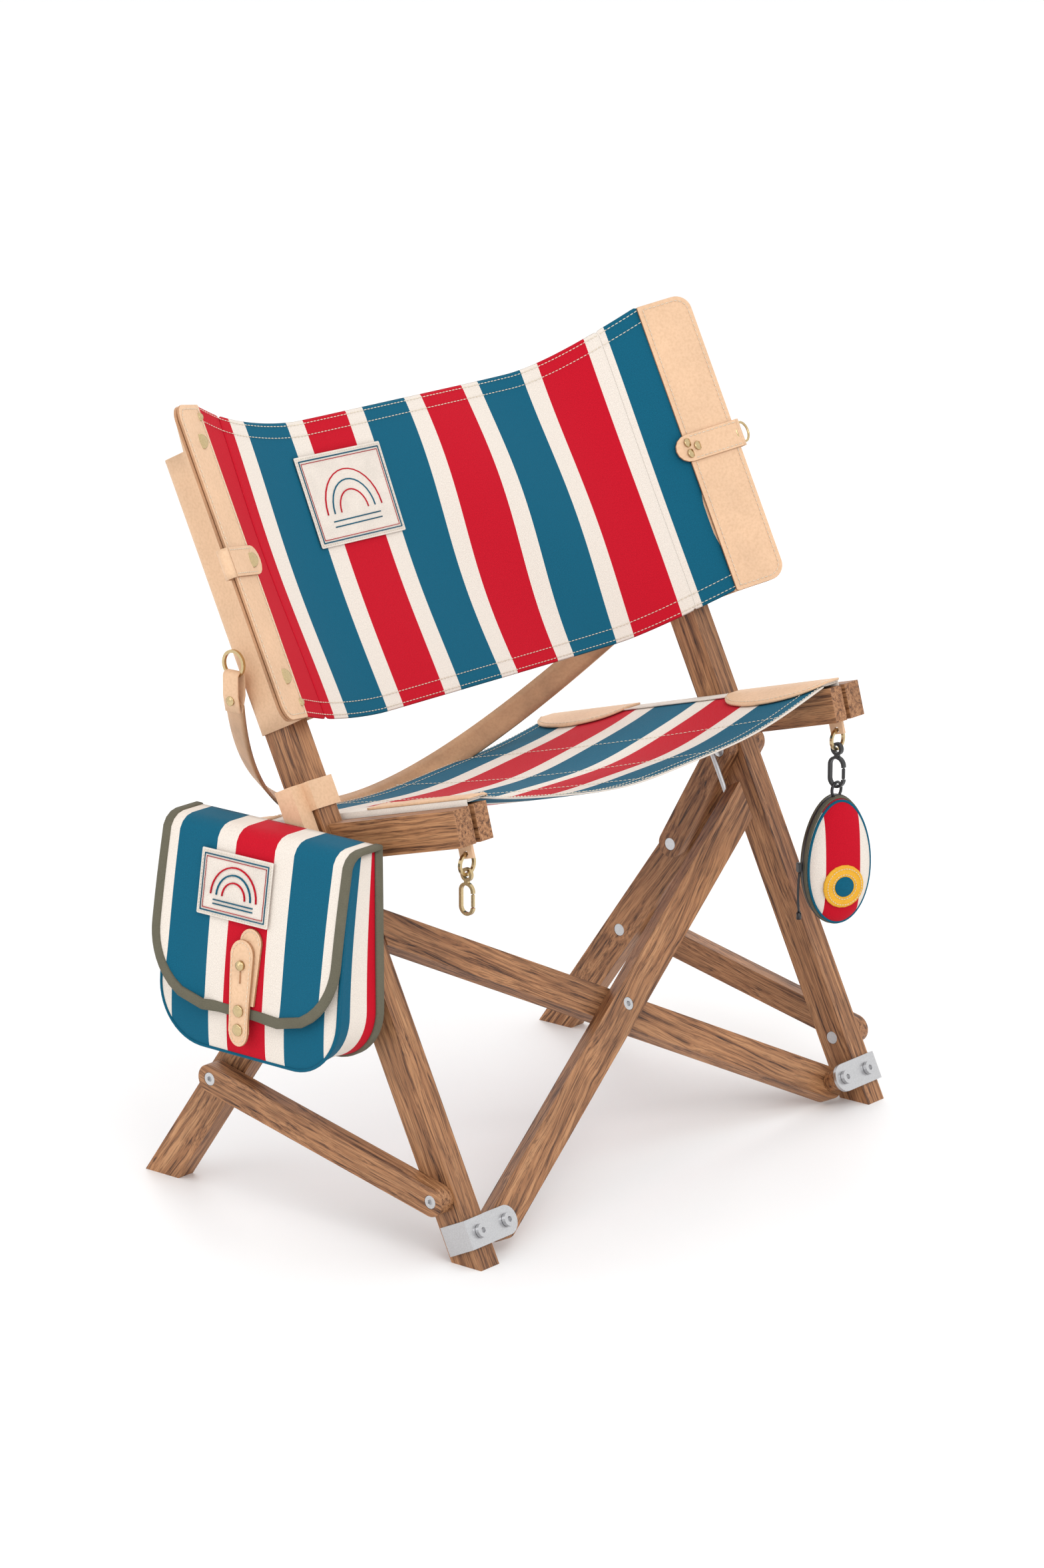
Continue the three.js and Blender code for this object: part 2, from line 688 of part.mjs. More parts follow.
addSideFrame(-1, 'left');
addSideFrame(1, 'right');
addRails(-1, 'left', eyeBehindLeft);
addRails(1, 'right', eyeBehindRight);
addCross();
addBracketScrews();
add(chair, 'seat_sling', seatSling(), stripe);
add(faceView, 'back_sling', upTheFace(strip(slingEdge, 24, backCurve, clothThick), backLow, backHigh), stripe);
add(chair, 'carry_strap', carryStrap(), leather);
for (const [side, tag] of [[-1, 'left'], [1, 'right']]) {
  add(faceView, `back_sleeve_${tag}`, backSleeve(side), leather);
  add(chair, `back_dring_${tag}`, backRing(side), brass);
  add(sideView, `rail_tab_${tag}`, railTab(side), leather);
  add(chair, `rail_dring_${tag}`, dRing(side), brass);
}
add(sideView, 'snap_hook', hookBody(-1, hookSize), brass);
add(sideView, 'snap_hook_gate', hookGate(-1, hookSize), brass);
add(sideView, 'carabiner', hookBody(1, carabinerSize), black);
add(sideView, 'carabiner_gate', hookGate(1, carabinerSize), black);
add(chair, 'pouch_body', pouchBody(), cloth);
add(chair, 'zip_slider', zipSlider(), black);
add(sideView, 'bag_body', bagBody(), cloth);
add(chair, 'bag_flap', bagFlap(), stripe);
add(sideView, 'closing_strap', closingStrap(), leather);
add(sideView, 'bag_stud', bagStud(), brass);
add(faceView, 'bag_loop', bagLoop(), leather);

// The origin is the middle of the chair's footprint box, on the floor.
const bounds = new THREE.Box3().setFromObject(chair, true);
const middle = bounds.getCenter(new THREE.Vector3());
chair.position.set(-middle.x, -middle.y, -bounds.min.z);

export default chair;
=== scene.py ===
"""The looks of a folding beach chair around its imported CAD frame."""

import json
import math

import bmesh
import bpy
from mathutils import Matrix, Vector

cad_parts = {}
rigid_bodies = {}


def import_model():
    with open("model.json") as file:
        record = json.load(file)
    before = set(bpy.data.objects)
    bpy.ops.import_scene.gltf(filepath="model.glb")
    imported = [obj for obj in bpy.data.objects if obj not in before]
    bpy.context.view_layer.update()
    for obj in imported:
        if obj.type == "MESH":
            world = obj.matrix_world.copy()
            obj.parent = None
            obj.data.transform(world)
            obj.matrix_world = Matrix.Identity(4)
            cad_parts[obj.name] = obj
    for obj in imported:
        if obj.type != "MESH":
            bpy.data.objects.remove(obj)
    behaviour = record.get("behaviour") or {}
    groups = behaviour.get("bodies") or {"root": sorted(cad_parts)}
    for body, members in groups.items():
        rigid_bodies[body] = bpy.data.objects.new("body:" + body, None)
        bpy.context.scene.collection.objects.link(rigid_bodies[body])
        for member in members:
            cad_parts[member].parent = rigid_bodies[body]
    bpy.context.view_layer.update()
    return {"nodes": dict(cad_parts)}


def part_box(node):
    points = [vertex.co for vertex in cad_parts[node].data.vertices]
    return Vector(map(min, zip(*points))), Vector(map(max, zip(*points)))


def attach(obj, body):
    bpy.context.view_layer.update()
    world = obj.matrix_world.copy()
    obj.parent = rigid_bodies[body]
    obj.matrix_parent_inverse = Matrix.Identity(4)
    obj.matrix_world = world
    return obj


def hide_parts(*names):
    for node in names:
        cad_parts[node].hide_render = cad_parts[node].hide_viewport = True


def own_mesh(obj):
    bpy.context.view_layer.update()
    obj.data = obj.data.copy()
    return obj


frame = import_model()

# ---------- places, from the frame ----------
MM = 0.001
LEAN = math.radians(25.76)
RAIL_TILT = math.radians(15)


def center_of(node):
    """The middle of a CAD node's box."""
    low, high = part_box(node)
    return Vector([(a + b) / 2 for a, b in zip(low, high)])


SHIFT_X = center_of("centre_bolt").x
SHIFT_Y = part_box("post_left")[0][1]
POST_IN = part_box("post_right")[0][0] - SHIFT_X
POST_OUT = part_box("post_right")[1][0] - SHIFT_X
POST_DEEP = 28.6 * MM
FLAP_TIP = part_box("back_sleeve_right")[1][0] - SHIFT_X
SEAM_X = POST_OUT + 11 * MM
SIDES = ((-1, "left"), (1, "right"))


def place(x, y, z):
    """A point of the chair, with x from its middle and y from the posts' feet, in the row frame."""
    return Vector((x + SHIFT_X, y + SHIFT_Y, z))


def on_post(x, along, behind):
    """A point placed along the posts and behind their front face."""
    y = along * math.sin(LEAN) + behind * math.cos(LEAN)
    z = along * math.cos(LEAN) - behind * math.sin(LEAN)
    return place(x, y, z)


OUT_OF_BACK = (on_post(0, 0, -1) - on_post(0, 0, 0)).normalized()
RAIL_LOW, RAIL_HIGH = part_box("rail_inner_right")
RAIL_HIGH_Z = RAIL_HIGH[2]
RAIL_BOARD = 31 * MM
# The front top corner of the rails is their highest point.
RAIL_FRONT_Y = RAIL_LOW[1] + RAIL_BOARD * math.sin(RAIL_TILT)
RAIL_IN = RAIL_LOW[0] - SHIFT_X
RAIL_OUT = RAIL_HIGH[0] - SHIFT_X


def on_rail(x, along, height):
    """A point placed from the rails' front top corner, back along them and above their top."""
    y = RAIL_FRONT_Y + along * math.cos(RAIL_TILT) + height * math.sin(RAIL_TILT)
    z = RAIL_HIGH_Z - along * math.sin(RAIL_TILT) + height * math.cos(RAIL_TILT)
    return Vector((x + SHIFT_X, y, z))


RAIL_UP = (on_rail(0, 0, 1) - on_rail(0, 0, 0)).normalized()


# ---------- node helpers ----------
def new_material(name):
    material = bpy.data.materials.new(name)
    material.use_nodes = True
    nodes = material.node_tree.nodes
    return material, material.node_tree, nodes["Principled BSDF"]


def link(tree, source, target):
    tree.links.new(source, target)


def math_node(tree, kind, a, b=None):
    node = tree.nodes.new("ShaderNodeMath")
    node.operation = kind
    for socket, value in zip(node.inputs, (a, b)):
        if value is None:
            continue
        if isinstance(value, (int, float)):
            socket.default_value = value
        else:
            link(tree, value, socket)
    return node.outputs[0]


def ramp(tree, factor, stops, constant=False):
    node = tree.nodes.new("ShaderNodeValToRGB")
    if constant:
        node.color_ramp.interpolation = "CONSTANT"
    elements = node.color_ramp.elements
    while len(elements) < len(stops):
        elements.new(0.5)
    for element, (position, color) in zip(elements, stops):
        element.position = position
        element.color = (*color, 1)
    link(tree, factor, node.inputs[0])
    return node.outputs[0]


def noise(tree, vector, scale, detail=4.0, rough=0.5):
    node = tree.nodes.new("ShaderNodeTexNoise")
    set_inputs(node, {"Scale": scale, "Detail": detail, "Roughness": rough})
    link(tree, vector, node.inputs["Vector"])
    return node.outputs["Fac"]


def mix(tree, factor, a, b, blend="MIX"):
    node = tree.nodes.new("ShaderNodeMix")
    node.data_type = "RGBA"
    node.blend_type = blend
    for socket, value in zip((node.inputs[0], node.inputs[6], node.inputs[7]), (factor, a, b)):
        if isinstance(value, (int, float)):
            socket.default_value = value
        elif isinstance(value, tuple):
            socket.default_value = (*value, 1)
        else:
            link(tree, value, socket)
    return node.outputs[2]


def set_inputs(node, values):
    for name, value in values.items():
        node.inputs[name].default_value = value


def tinted(rgb, share):
    return tuple(min(1, part * share) for part in rgb)


def times(tree, a, b):
    return math_node(tree, "MULTIPLY", a, b)


def bump(tree, shader, height, strength, distance):
    node = tree.nodes.new("ShaderNodeBump")
    set_inputs(node, {"Strength": strength, "Distance": distance})
    link(tree, height, node.inputs["Height"])
    link(tree, node.outputs[0], shader.inputs["Normal"])


def object_coords(tree):
    return tree.nodes.new("ShaderNodeTexCoord").outputs["Object"]


def combine(tree, x, y, z):
    node = tree.nodes.new("ShaderNodeCombineXYZ")
    for socket, value in zip(node.inputs, (x, y, z)):
        if isinstance(value, (int, float)):
            socket.default_value = value
        else:
            link(tree, value, socket)
    return node.outputs[0]


def dot(tree, vector, direction):
    node = tree.nodes.new("ShaderNodeVectorMath")
    node.operation = "DOT_PRODUCT"
    node.inputs[1].default_value = direction
    link(tree, vector, node.inputs[0])
    return node.outputs["Value"]


# ---------- materials ----------
def wood(name, direction, seed):
    """Oiled oak, with bands and dark pores drawn out along a direction."""
    material, tree, shader = new_material(name)
    along = Vector(direction).normalized()
    side = along.orthogonal().normalized()
    third = along.cross(side)
    coords = object_coords(tree)
    run = math_node(tree, "ADD", dot(tree, coords, along), seed * 0.37)
    a = math_node(tree, "ADD", dot(tree, coords, side), seed * 0.11)
    b = dot(tree, coords, third)
    drift = noise(tree, combine(tree, times(tree, run, 0.22), a, b), 34.0, 2.0)
    bend = times(tree, drift, 0.022)
    across = math_node(tree, "ADD", a, bend)
    rings = combine(tree, across, b, times(tree, run, 0.012))
    bands = noise(tree, rings, 330.0, 2.0, 0.55)
    lines = combine(tree, across, b, times(tree, run, 0.030))
    pores = noise(tree, lines, 1150.0, 3.0, 0.65)
    base = ramp(tree, bands, [
        (0.30, (0.135, 0.054, 0.021)),
        (0.42, (0.265, 0.115, 0.047)),
        (0.55, (0.385, 0.183, 0.080)),
        (0.75, (0.480, 0.250, 0.118)),
    ])
    dark = ramp(tree, bands, [(0.34, (1, 1, 1)), (0.50, (0.18, 0.18, 0.18))])
    fleck = ramp(tree, pores, [(0.40, (0.16, 0.12, 0.10)), (0.53, (1, 1, 1))])
    flecked = mix(tree, 1.0, base, fleck, "MULTIPLY")
    pored = mix(tree, 0.45, mix(tree, dark, base, flecked), flecked)
    cloud = noise(tree, combine(tree, times(tree, run, 0.4), a, b), 22.0, 2.0)
    tone = ramp(tree, cloud, [(0.3, (0.84, 0.82, 0.80)), (0.7, (1.10, 1.08, 1.05))])
    link(tree, mix(tree, 1.0, pored, tone, "MULTIPLY"), shader.inputs["Base Color"])
    set_inputs(shader, {"Roughness": 0.5, "Specular IOR Level": 0.4})
    bump(tree, shader, pores, 0.45, 0.0005)
    return material


BLUE = (0.003, 0.098, 0.168)
RED = (0.490, 0.003, 0.016)
CREAM = (0.730, 0.660, 0.590)
OLIVE = (0.130, 0.120, 0.085)


WEAVE_PHASE = 4400.0  # radians a metre, so a thread and its gap take 1.4 mm


def woven(tree, shader, coords_u, coords_v, color):
    """A plain weave over a colour, with soft yarn variation."""
    warp = math_node(tree, "SINE", times(tree, coords_u, WEAVE_PHASE))
    weft = math_node(tree, "SINE", times(tree, coords_v, WEAVE_PHASE))
    cloth = times(tree, warp, weft)
    yarn = noise(tree, combine(tree, coords_u, coords_v, 0.0), 900.0, 3.0, 0.6)
    shade = ramp(tree, yarn, [(0.25, (0.84, 0.84, 0.84)), (0.75, (1.08, 1.08, 1.08))])
    link(tree, mix(tree, 1.0, color, shade, "MULTIPLY"), shader.inputs["Base Color"])
    set_inputs(shader, {"Roughness": 0.82, "Specular IOR Level": 0.12, "Sheen Weight": 0.03,
                        "Sheen Roughness": 0.5})
    height = math_node(tree, "ADD", times(tree, cloth, 0.5), yarn)
    bump(tree, shader, height, 0.35, 0.0003)


def striped(name, colored, white, start, first=BLUE, second=RED):
    """Canvas with stripes across its UV u, which is in metres."""
    material, tree, shader = new_material(name)
    uv = tree.nodes.new("ShaderNodeTexCoord").outputs["UV"]
    split = tree.nodes.new("ShaderNodeSeparateXYZ")
    link(tree, uv, split.inputs[0])
    period = 2 * (colored + white)
    moved = math_node(tree, "SUBTRACT", split.outputs[0], start)
    share = math_node(tree, "FRACT", math_node(tree, "DIVIDE", moved, period))
    stops = [
        (0.0, first),
        (colored / period, CREAM),
        ((colored + white) / period, second),
        ((2 * colored + white) / period, CREAM),
    ]
    color = ramp(tree, share, stops, constant=True)
    woven(tree, shader, split.outputs[0], split.outputs[1], color)
    return material


def plain_cloth(name, rgb):
    material, tree, shader = new_material(name)
    coords = object_coords(tree)
    split = tree.nodes.new("ShaderNodeSeparateXYZ")
    link(tree, coords, split.inputs[0])
    tint = ramp(tree, noise(tree, coords, 60.0), [(0.3, tinted(rgb, 0.9)), (0.7, rgb)])
    across = math_node(tree, "ADD", split.outputs[0], split.outputs[1])
    woven(tree, shader, across, split.outputs[2], tint)
    return material


def leather(name, rgb, wear):
    """Vegetable-tanned leather with a fine pebbled grain and cloudy tone."""
    material, tree, shader = new_material(name)
    coords = object_coords(tree)
    cloud = noise(tree, coords, 28.0, 5.0, 0.55)
    color = ramp(tree, cloud, [(0.28, tinted(rgb, 1 - 1.6 * wear)), (0.62, rgb), (0.85, tinted(rgb, 1.08))])
    pebble = tree.nodes.new("ShaderNodeTexVoronoi")
    pebble.inputs["Scale"].default_value = 1100.0
    link(tree, coords, pebble.inputs["Vector"])
    speck = ramp(tree, noise(tree, coords, 420.0, 4.0), [(0.3, (0.9, 0.88, 0.85)), (0.6, (1, 1, 1))])
    link(tree, mix(tree, 1.0, color, speck, "MULTIPLY"), shader.inputs["Base Color"])
    set_inputs(shader, {"Roughness": 0.56, "Specular IOR Level": 0.4})
    bump(tree, shader, pebble.outputs["Distance"], 0.12, 0.0004)
    return material


def metal(name, rgb, rough):
    material, tree, shader = new_material(name)
    coords = object_coords(tree)
    mottled = noise(tree, coords, 900.0, 3.0)
    color = ramp(tree, mottled, [(0.25, tinted(rgb, 0.82)), (0.7, rgb)])
    link(tree, color, shader.inputs["Base Color"])
    set_inputs(shader, {"Metallic": 1.0, "Roughness": rough})
    bump(tree, shader, mottled, 0.05, 0.0002)
    return material


def plastic(name, rgb, rough):
    material, tree, shader = new_material(name)
    coords = object_coords(tree)
    grain = noise(tree, coords, 1600.0, 2.0)
    color = ramp(tree, grain, [(0.3, tinted(rgb, 0.8)), (0.7, rgb)])
    link(tree, color, shader.inputs["Base Color"])
    shader.inputs["Roughness"].default_value = rough
    bump(tree, shader, grain, 0.08, 0.0002)
    return material


TAN = leather("leather_tan", (0.720, 0.475, 0.300), 0.05)
TAN_EDGE = leather("leather_edge", (0.450, 0.235, 0.120), 0.2)
STRAP_TAN = leather("leather_strap", (0.560, 0.330, 0.180), 0.18)
BACK_CLOTH = striped("stripes_back", 0.056, 0.022, -0.056)
SEAT_CLOTH = striped("stripes_seat", 0.049, 0.022, -0.004)
BAG_CLOTH = striped("stripes_bag", 0.042, 0.021, -0.021, RED, BLUE)
BAG_SIDE_CLOTH = striped("stripes_bag_side", 0.018, 0.021, -0.002, RED, BLUE)
POUCH_RED = plain_cloth("pouch_red_cloth", RED)
TEAL = plain_cloth("teal_cloth", BLUE)
BINDING = plain_cloth("olive_binding", OLIVE)
WEBBING = plain_cloth("cream_hem", CREAM)
THREAD = plain_cloth("cream_thread", (0.80, 0.72, 0.58))
STEEL = metal("zinc_steel", (0.58, 0.58, 0.59), 0.30)
BRASS = metal("aged_brass", (0.60, 0.46, 0.25), 0.24)
BLACK = plastic("black_plastic", (0.018, 0.018, 0.020), 0.38)
YELLOW = plain_cloth("patch_yellow", (0.80, 0.42, 0.04))


# ---------- mesh helpers ----------
def finish_object(name, mesh, material, body, smooth=True):
    obj = bpy.data.objects.new(name, mesh)
    bpy.context.scene.collection.objects.link(obj)
    mesh.materials.append(material)
    for face in mesh.polygons:
        face.use_smooth = smooth
    if body:
        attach(obj, body)
    return obj


def mesh_object(name, bm, material, body, smooth=True):
    """An object made from a bmesh, which is freed."""
    mesh = bpy.data.meshes.new(name)
    bm.to_mesh(mesh)
    bm.free()
    return finish_object(name, mesh, material, body, smooth)


def steps(start, end, count):
    """Evenly spaced numbers from start to end, both included."""
    return [start + (end - start) * k / count for k in range(count + 1)]


def circle(count):
    """The angles of a full turn's even steps."""
    return steps(0.0, 2 * math.pi, count)[:-1]


def length_of(points):
    return sum((b - a).length for a, b in zip(points, points[1:]))


def tangents(points, closed):
    """The direction of a line at each of its points."""
    count = len(points)
    result = []
    for index in range(count):
        before = points[index - 1] if closed or index else points[0]
        after = points[(index + 1) % count] if closed or index < count - 1 else points[-1]
        result.append((after - before).normalized())
    return result


def join_rings(bm, rings, closed=False, capped=True):
    """Faces from each ring of vertices to the next, with the two ends closed where they are open."""
    followers = rings[1:] + rings[:1] if closed else rings[1:]
    for a, b in zip(rings, followers):
        for k in range(len(a)):
            after = (k + 1) % len(a)
            bm.faces.new((a[k], a[after], b[after], b[k]))
    if capped and not closed:
        bm.faces.new(rings[0][::-1])
        bm.faces.new(rings[-1])


def sheet_mesh(name, columns, rows, at, material, body, uv=None, thick=0.0, subdivide=0):
    """A grid whose corners are at(u, v) for u and v from 0 to 1, with an optional metric UV."""
    mesh = bpy.data.meshes.new(name)
    across = columns + 1
    vertices = [at(i / columns, j / rows) for j in range(rows + 1) for i in range(across)]
    corners = [j * across + i for j in range(rows) for i in range(columns)]
    mesh.from_pydata(vertices, [], [(k, k + 1, k + across + 1, k + across) for k in corners])
    layer = mesh.uv_layers.new(name="metres")
    for loop in mesh.loops:
        u = loop.vertex_index % across / columns
        v = loop.vertex_index // across / rows
        layer.data[loop.index].uv = uv(u, v) if uv else (u, v)
    obj = finish_object(name, mesh, material, body)
    if thick:
        modifier = obj.modifiers.new("thickness", "SOLIDIFY")
        modifier.thickness = thick
        modifier.offset = 0
    if subdivide:
        modifier = obj.modifiers.new("smooth", "SUBSURF")
        modifier.levels = subdivide
        modifier.render_levels = subdivide
    return obj


def tube(name, points, radius, material, body, closed=False, sides=8):
    """A round tube through points."""
    bm = bmesh.new()
    rings = []
    normal = None
    for point, tangent in zip(points, tangents(points, closed)):
        if normal is None:
            normal = tangent.orthogonal().normalized()
        normal = (normal - tangent * normal.dot(tangent)).normalized()
        other = tangent.cross(normal)
        rings.append([bm.verts.new(point + normal * math.cos(a) * radius + other * math.sin(a) * radius)
                      for a in circle(sides)])
    join_rings(bm, rings, closed)
    bm.normal_update()
    return mesh_object(name, bm, material, body)


RIBBON_SIDES = 12


def ribbon(name, points, normals, half, thick, material, body, closed=False):
    """A flat band with rounded edges that follows points and faces along the normals."""
    bm = bmesh.new()
    rings = []
    for point, normal, tangent in zip(points, normals, tangents(points, closed)):
        across = tangent.cross(normal).normalized()
        ring = []
        for k in range(RIBBON_SIDES):
            angle = 2 * math.pi * (k + 0.5) / RIBBON_SIDES
            wide = math.copysign(abs(math.cos(angle)) ** 0.35, math.cos(angle)) * half
            high = math.copysign(abs(math.sin(angle)) ** 0.7, math.sin(angle)) * thick / 2
            ring.append(bm.verts.new(point + across * wide + normal * high))
        rings.append(ring)
    join_rings(bm, rings, closed)
    bmesh.ops.recalc_face_normals(bm, faces=bm.faces)
    return mesh_object(name, bm, material, body)


def resample(points, step):
    """Points at an even step along a polyline."""
    result = [points[0].copy()]
    left = step
    for a, b in zip(points, points[1:]):
        length = (b - a).length
        done = 0.0
        while length - done >= left:
            done += left
            result.append(a.lerp(b, done / length))
            left = step
        left -= length - done
    return result


LABEL_THREAD = {"length": 0.002, "space": 0.001, "radius": 0.0003}


def stitches(name, points, normal, body, length=0.0032, space=0.0012, radius=0.00042):
    """A run of raised thread stitches along a line, standing just proud of the surface."""
    dense = resample(points, (length + space) / 2)
    bm = bmesh.new()
    up = normal * radius
    for a, b in zip(dense[::2], dense[1::2]):
        along = (b - a).normalized()
        middle = (a + b) / 2 + up * 0.6
        side = along.cross(normal).normalized() * radius
        section = (side, up, -side, -up * 0.5)
        rings = [
            [bm.verts.new(middle - along * length / 2 + s * 0.6) for s in section],
            [bm.verts.new(middle + s + up * 0.4) for s in section],
            [bm.verts.new(middle + along * length / 2 + s * 0.6) for s in section],
        ]
        join_rings(bm, rings)
    bm.normal_update()
    return mesh_object(name, bm, THREAD, body)


DOME_PROFILE = ((1.0, 0.0), (1.0, 0.35), (0.93, 0.62), (0.80, 0.60), (0.62, 0.80), (0.3, 0.96))
DOME_SIDES = 20


def dome(name, center, normal, radius, material, body, high=0.0022):
    """A rivet or snap cap: a shallow dome with a rolled rim."""
    normal = normal.normalized()
    side = normal.orthogonal().normalized()
    other = normal.cross(side)
    bm = bmesh.new()
    rings = []
    for share, height in DOME_PROFILE:
        flats = [side * math.cos(angle) + other * math.sin(angle) for angle in circle(DOME_SIDES)]
        lift = normal * high * height
        rings.append([bm.verts.new(center + flat * radius * share + lift) for flat in flats])
    top = bm.verts.new(center + normal * high)
    join_rings(bm, rings, capped=False)
    for k in range(DOME_SIDES):
        bm.faces.new((rings[-1][k], rings[-1][(k + 1) % DOME_SIDES], top))
    bm.faces.new(rings[0][::-1])
    bm.normal_update()
    return mesh_object(name, bm, material, body)


def rounded_outline(width, height, radii, count=8):
    """Points of a rectangle from (0, 0), with a radius for each corner, counter-clockwise."""
    corners = (
        (radii[0], radii[0], radii[0], math.pi),
        (width - radii[1], radii[1], radii[1], 1.5 * math.pi),
        (width - radii[2], height - radii[2], radii[2], 0.0),
        (radii[3], height - radii[3], radii[3], 0.5 * math.pi),
    )
    return [(x + radius * math.cos(angle), y + radius * math.sin(angle))
            for x, y, radius, start in corners
            for angle in steps(start, start + 0.5 * math.pi, count)]


def mirrored(outline, side):
    """An outline in the order that faces its plate outward on the left (-1) or right (1) side."""
    return outline if side > 0 else outline[::-1]


def plate(name, outline, to_world, thick, material, body, edge=None, bevel=0.0006):
    """A flat piece cut to an outline, with softened edges."""
    bm = bmesh.new()
    face = bm.faces.new([bm.verts.new(to_world(*point)) for point in outline])
    bm.normal_update()
    back = face.normal * -thick
    extruded = bmesh.ops.extrude_face_region(bm, geom=[face])
    moved = [v for v in extruded["geom"] if isinstance(v, bmesh.types.BMVert)]
    bmesh.ops.translate(bm, verts=moved, vec=back)
    bmesh.ops.recalc_face_normals(bm, faces=bm.faces)
    obj = mesh_object(name, bm, material, body, smooth=False)
    if edge:
        obj.data.materials.append(edge)
        for side in [f for f in obj.data.polygons if len(f.vertices) == 4]:
            side.material_index = 1
    modifier = obj.modifiers.new("edges", "BEVEL")
    modifier.width = bevel
    modifier.segments = 2
    return obj


# ---------- wood and metal of the frame ----------
WOOD_KINDS = ("post", "rear_leg", "side_brace", "cheek", "rail_inner", "rail_outer", "cross_bar", "barrel")


def dress_frame():
    lean = (0, math.sin(LEAN), math.cos(LEAN))
    rail = (0, math.cos(RAIL_TILT), -math.sin(RAIL_TILT))
    directions = {"post": lean, "rail_inner": rail, "rail_outer": rail, "barrel": lean}
    for index, (name, obj) in enumerate(sorted(frame["nodes"].items())):
        kind = next((k for k in WOOD_KINDS if name.startswith(k)), None)
        if kind:
            direction = directions.get(kind) or long_way(obj)
            set_material(obj, wood(f"oak_{name}", direction, index + 1))
            soften(obj, 0.0022 if kind != "barrel" else 0.001)
        elif name.startswith(("bolt", "centre_bolt", "foot_", "rail_eye")):
            set_material(obj, STEEL)
            soften(obj, 0.0005)
        elif name.startswith(("rail_dring", "back_dring", "snap_hook")):
            set_material(obj, BRASS)
            soften(obj, 0.0007)
        elif name.startswith("carabiner"):
            set_material(obj, BLACK)
            soften(obj, 0.0009)


def long_way(obj):
    """The direction from a node's lowest point to the point furthest from it."""
    points = [v.co for v in obj.data.vertices]
    start = min(points, key=lambda p: p.z)
    end = max(points, key=lambda p: (p - start).length)
    return (end - start).normalized()


def set_material(obj, material):
    obj.data.materials.clear()
    obj.data.materials.append(material)


def soften(obj, width):
    modifier = obj.modifiers.new("edges", "BEVEL")
    modifier.width = width
    modifier.segments = 3
    modifier.limit_method = "ANGLE"
    modifier.angle_limit = math.radians(35)


dress_frame()

# ---------- backrest ----------
SLEEVE_LOW = 0.472
SLEEVE_HIGH = 0.742
WRAP_HIGH = 0.7125
BACK_MIDDLE_OFF = 0.012
BACK_EDGE_OFF = -0.0125
SLING_EDGE = 0.250
END_LAP = 0.004


def back_off(x):
    """How far behind the posts' front face the backrest cloth lies at x."""
    if abs(x) > SLING_EDGE:
        return BACK_EDGE_OFF - 0.466 * (abs(x) - SLING_EDGE)
    return BACK_MIDDLE_OFF - (BACK_MIDDLE_OFF - BACK_EDGE_OFF) * abs(x / SLING_EDGE) ** 4


def back_top(x):
    return 0.717 + 0.027 * max(0.0, (abs(x) - 0.14) / 0.15) ** 1.6


def back_low(x):
    return 0.460 + 0.013 * max(0.0, (abs(x) - 0.16) / 0.13) ** 1.5


def back_point(x, share, lift=0.0):
    low, high = back_low(x), back_top(x)
    along = low + (high - low) * share
    sway = 0.0035 * math.sin(6.0 * share + 9.0 * x) * (1 - abs(x / 0.3) ** 2)
    sway += 0.0025 * math.sin(26.0 * x + 3.5 * share) * share * (1 - share) * 4
    return on_post(x, along, back_off(x) + sway - lift)


def hem_line(x0, x1, share, point_at, lift, count):
    return [point_at(x, share, lift) for x in steps(x0, x1, count)]


def back_panel(name, x0, x1, columns, body, lift=0.0):
    def at(u, v):
        return back_point(x0 + (x1 - x0) * u, v, lift)

    def uv(u, v):
        return x0 + (x1 - x0) * u, 0.26 * v
    return sheet_mesh(name, columns, 22, at, BACK_CLOTH, body, uv, thick=0.0013, subdivide=1)


def make_back_cloth():
    """The panel between the posts, which crumples, and its two ends under the flaps, which don't."""
    cloth = back_panel("back_cloth", -SLING_EDGE, SLING_EDGE, 64, "rails_left")
    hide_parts("back_sling")
    middle = hem_line(-SLING_EDGE, SLING_EDGE, 0.5, back_point, 0.0, 60)
    length_of(middle)
    soft = [cloth]
    out = OUT_OF_BACK
    for side, tag in SIDES:
        start = side * (SLING_EDGE - END_LAP)
        panel = back_panel(f"back_cloth_end_{tag}", start, side * SEAM_X, 6, f"rails_{tag}", -0.0009)
    for share, hem in ((0.985, "top_a"), (0.945, "top_b"), (0.015, "low_a"), (0.055, "low_b")):
        line = hem_line(-SLING_EDGE, SLING_EDGE, share, back_point, 0.0012, 110)
        soft.append(stitches(f"back_hem_stitch_{hem}", line, out, "rails_left"))
        for side, tag in SIDES:
            line = hem_line(side * SLING_EDGE, side * SEAM_X, share, back_point, 0.0012, 12)
            stitches(f"back_hem_stitch_{hem}_{tag}", line, out, f"rails_{tag}")
    return soft


def flap_world(side):
    def world(x, along):
        real = SEAM_X - 0.004 + x
        return on_post(side * real, SLEEVE_LOW + along, back_off(real) - 0.0026)
    return world


LEATHER = 0.0022
TAB_LEATHER = 0.0024


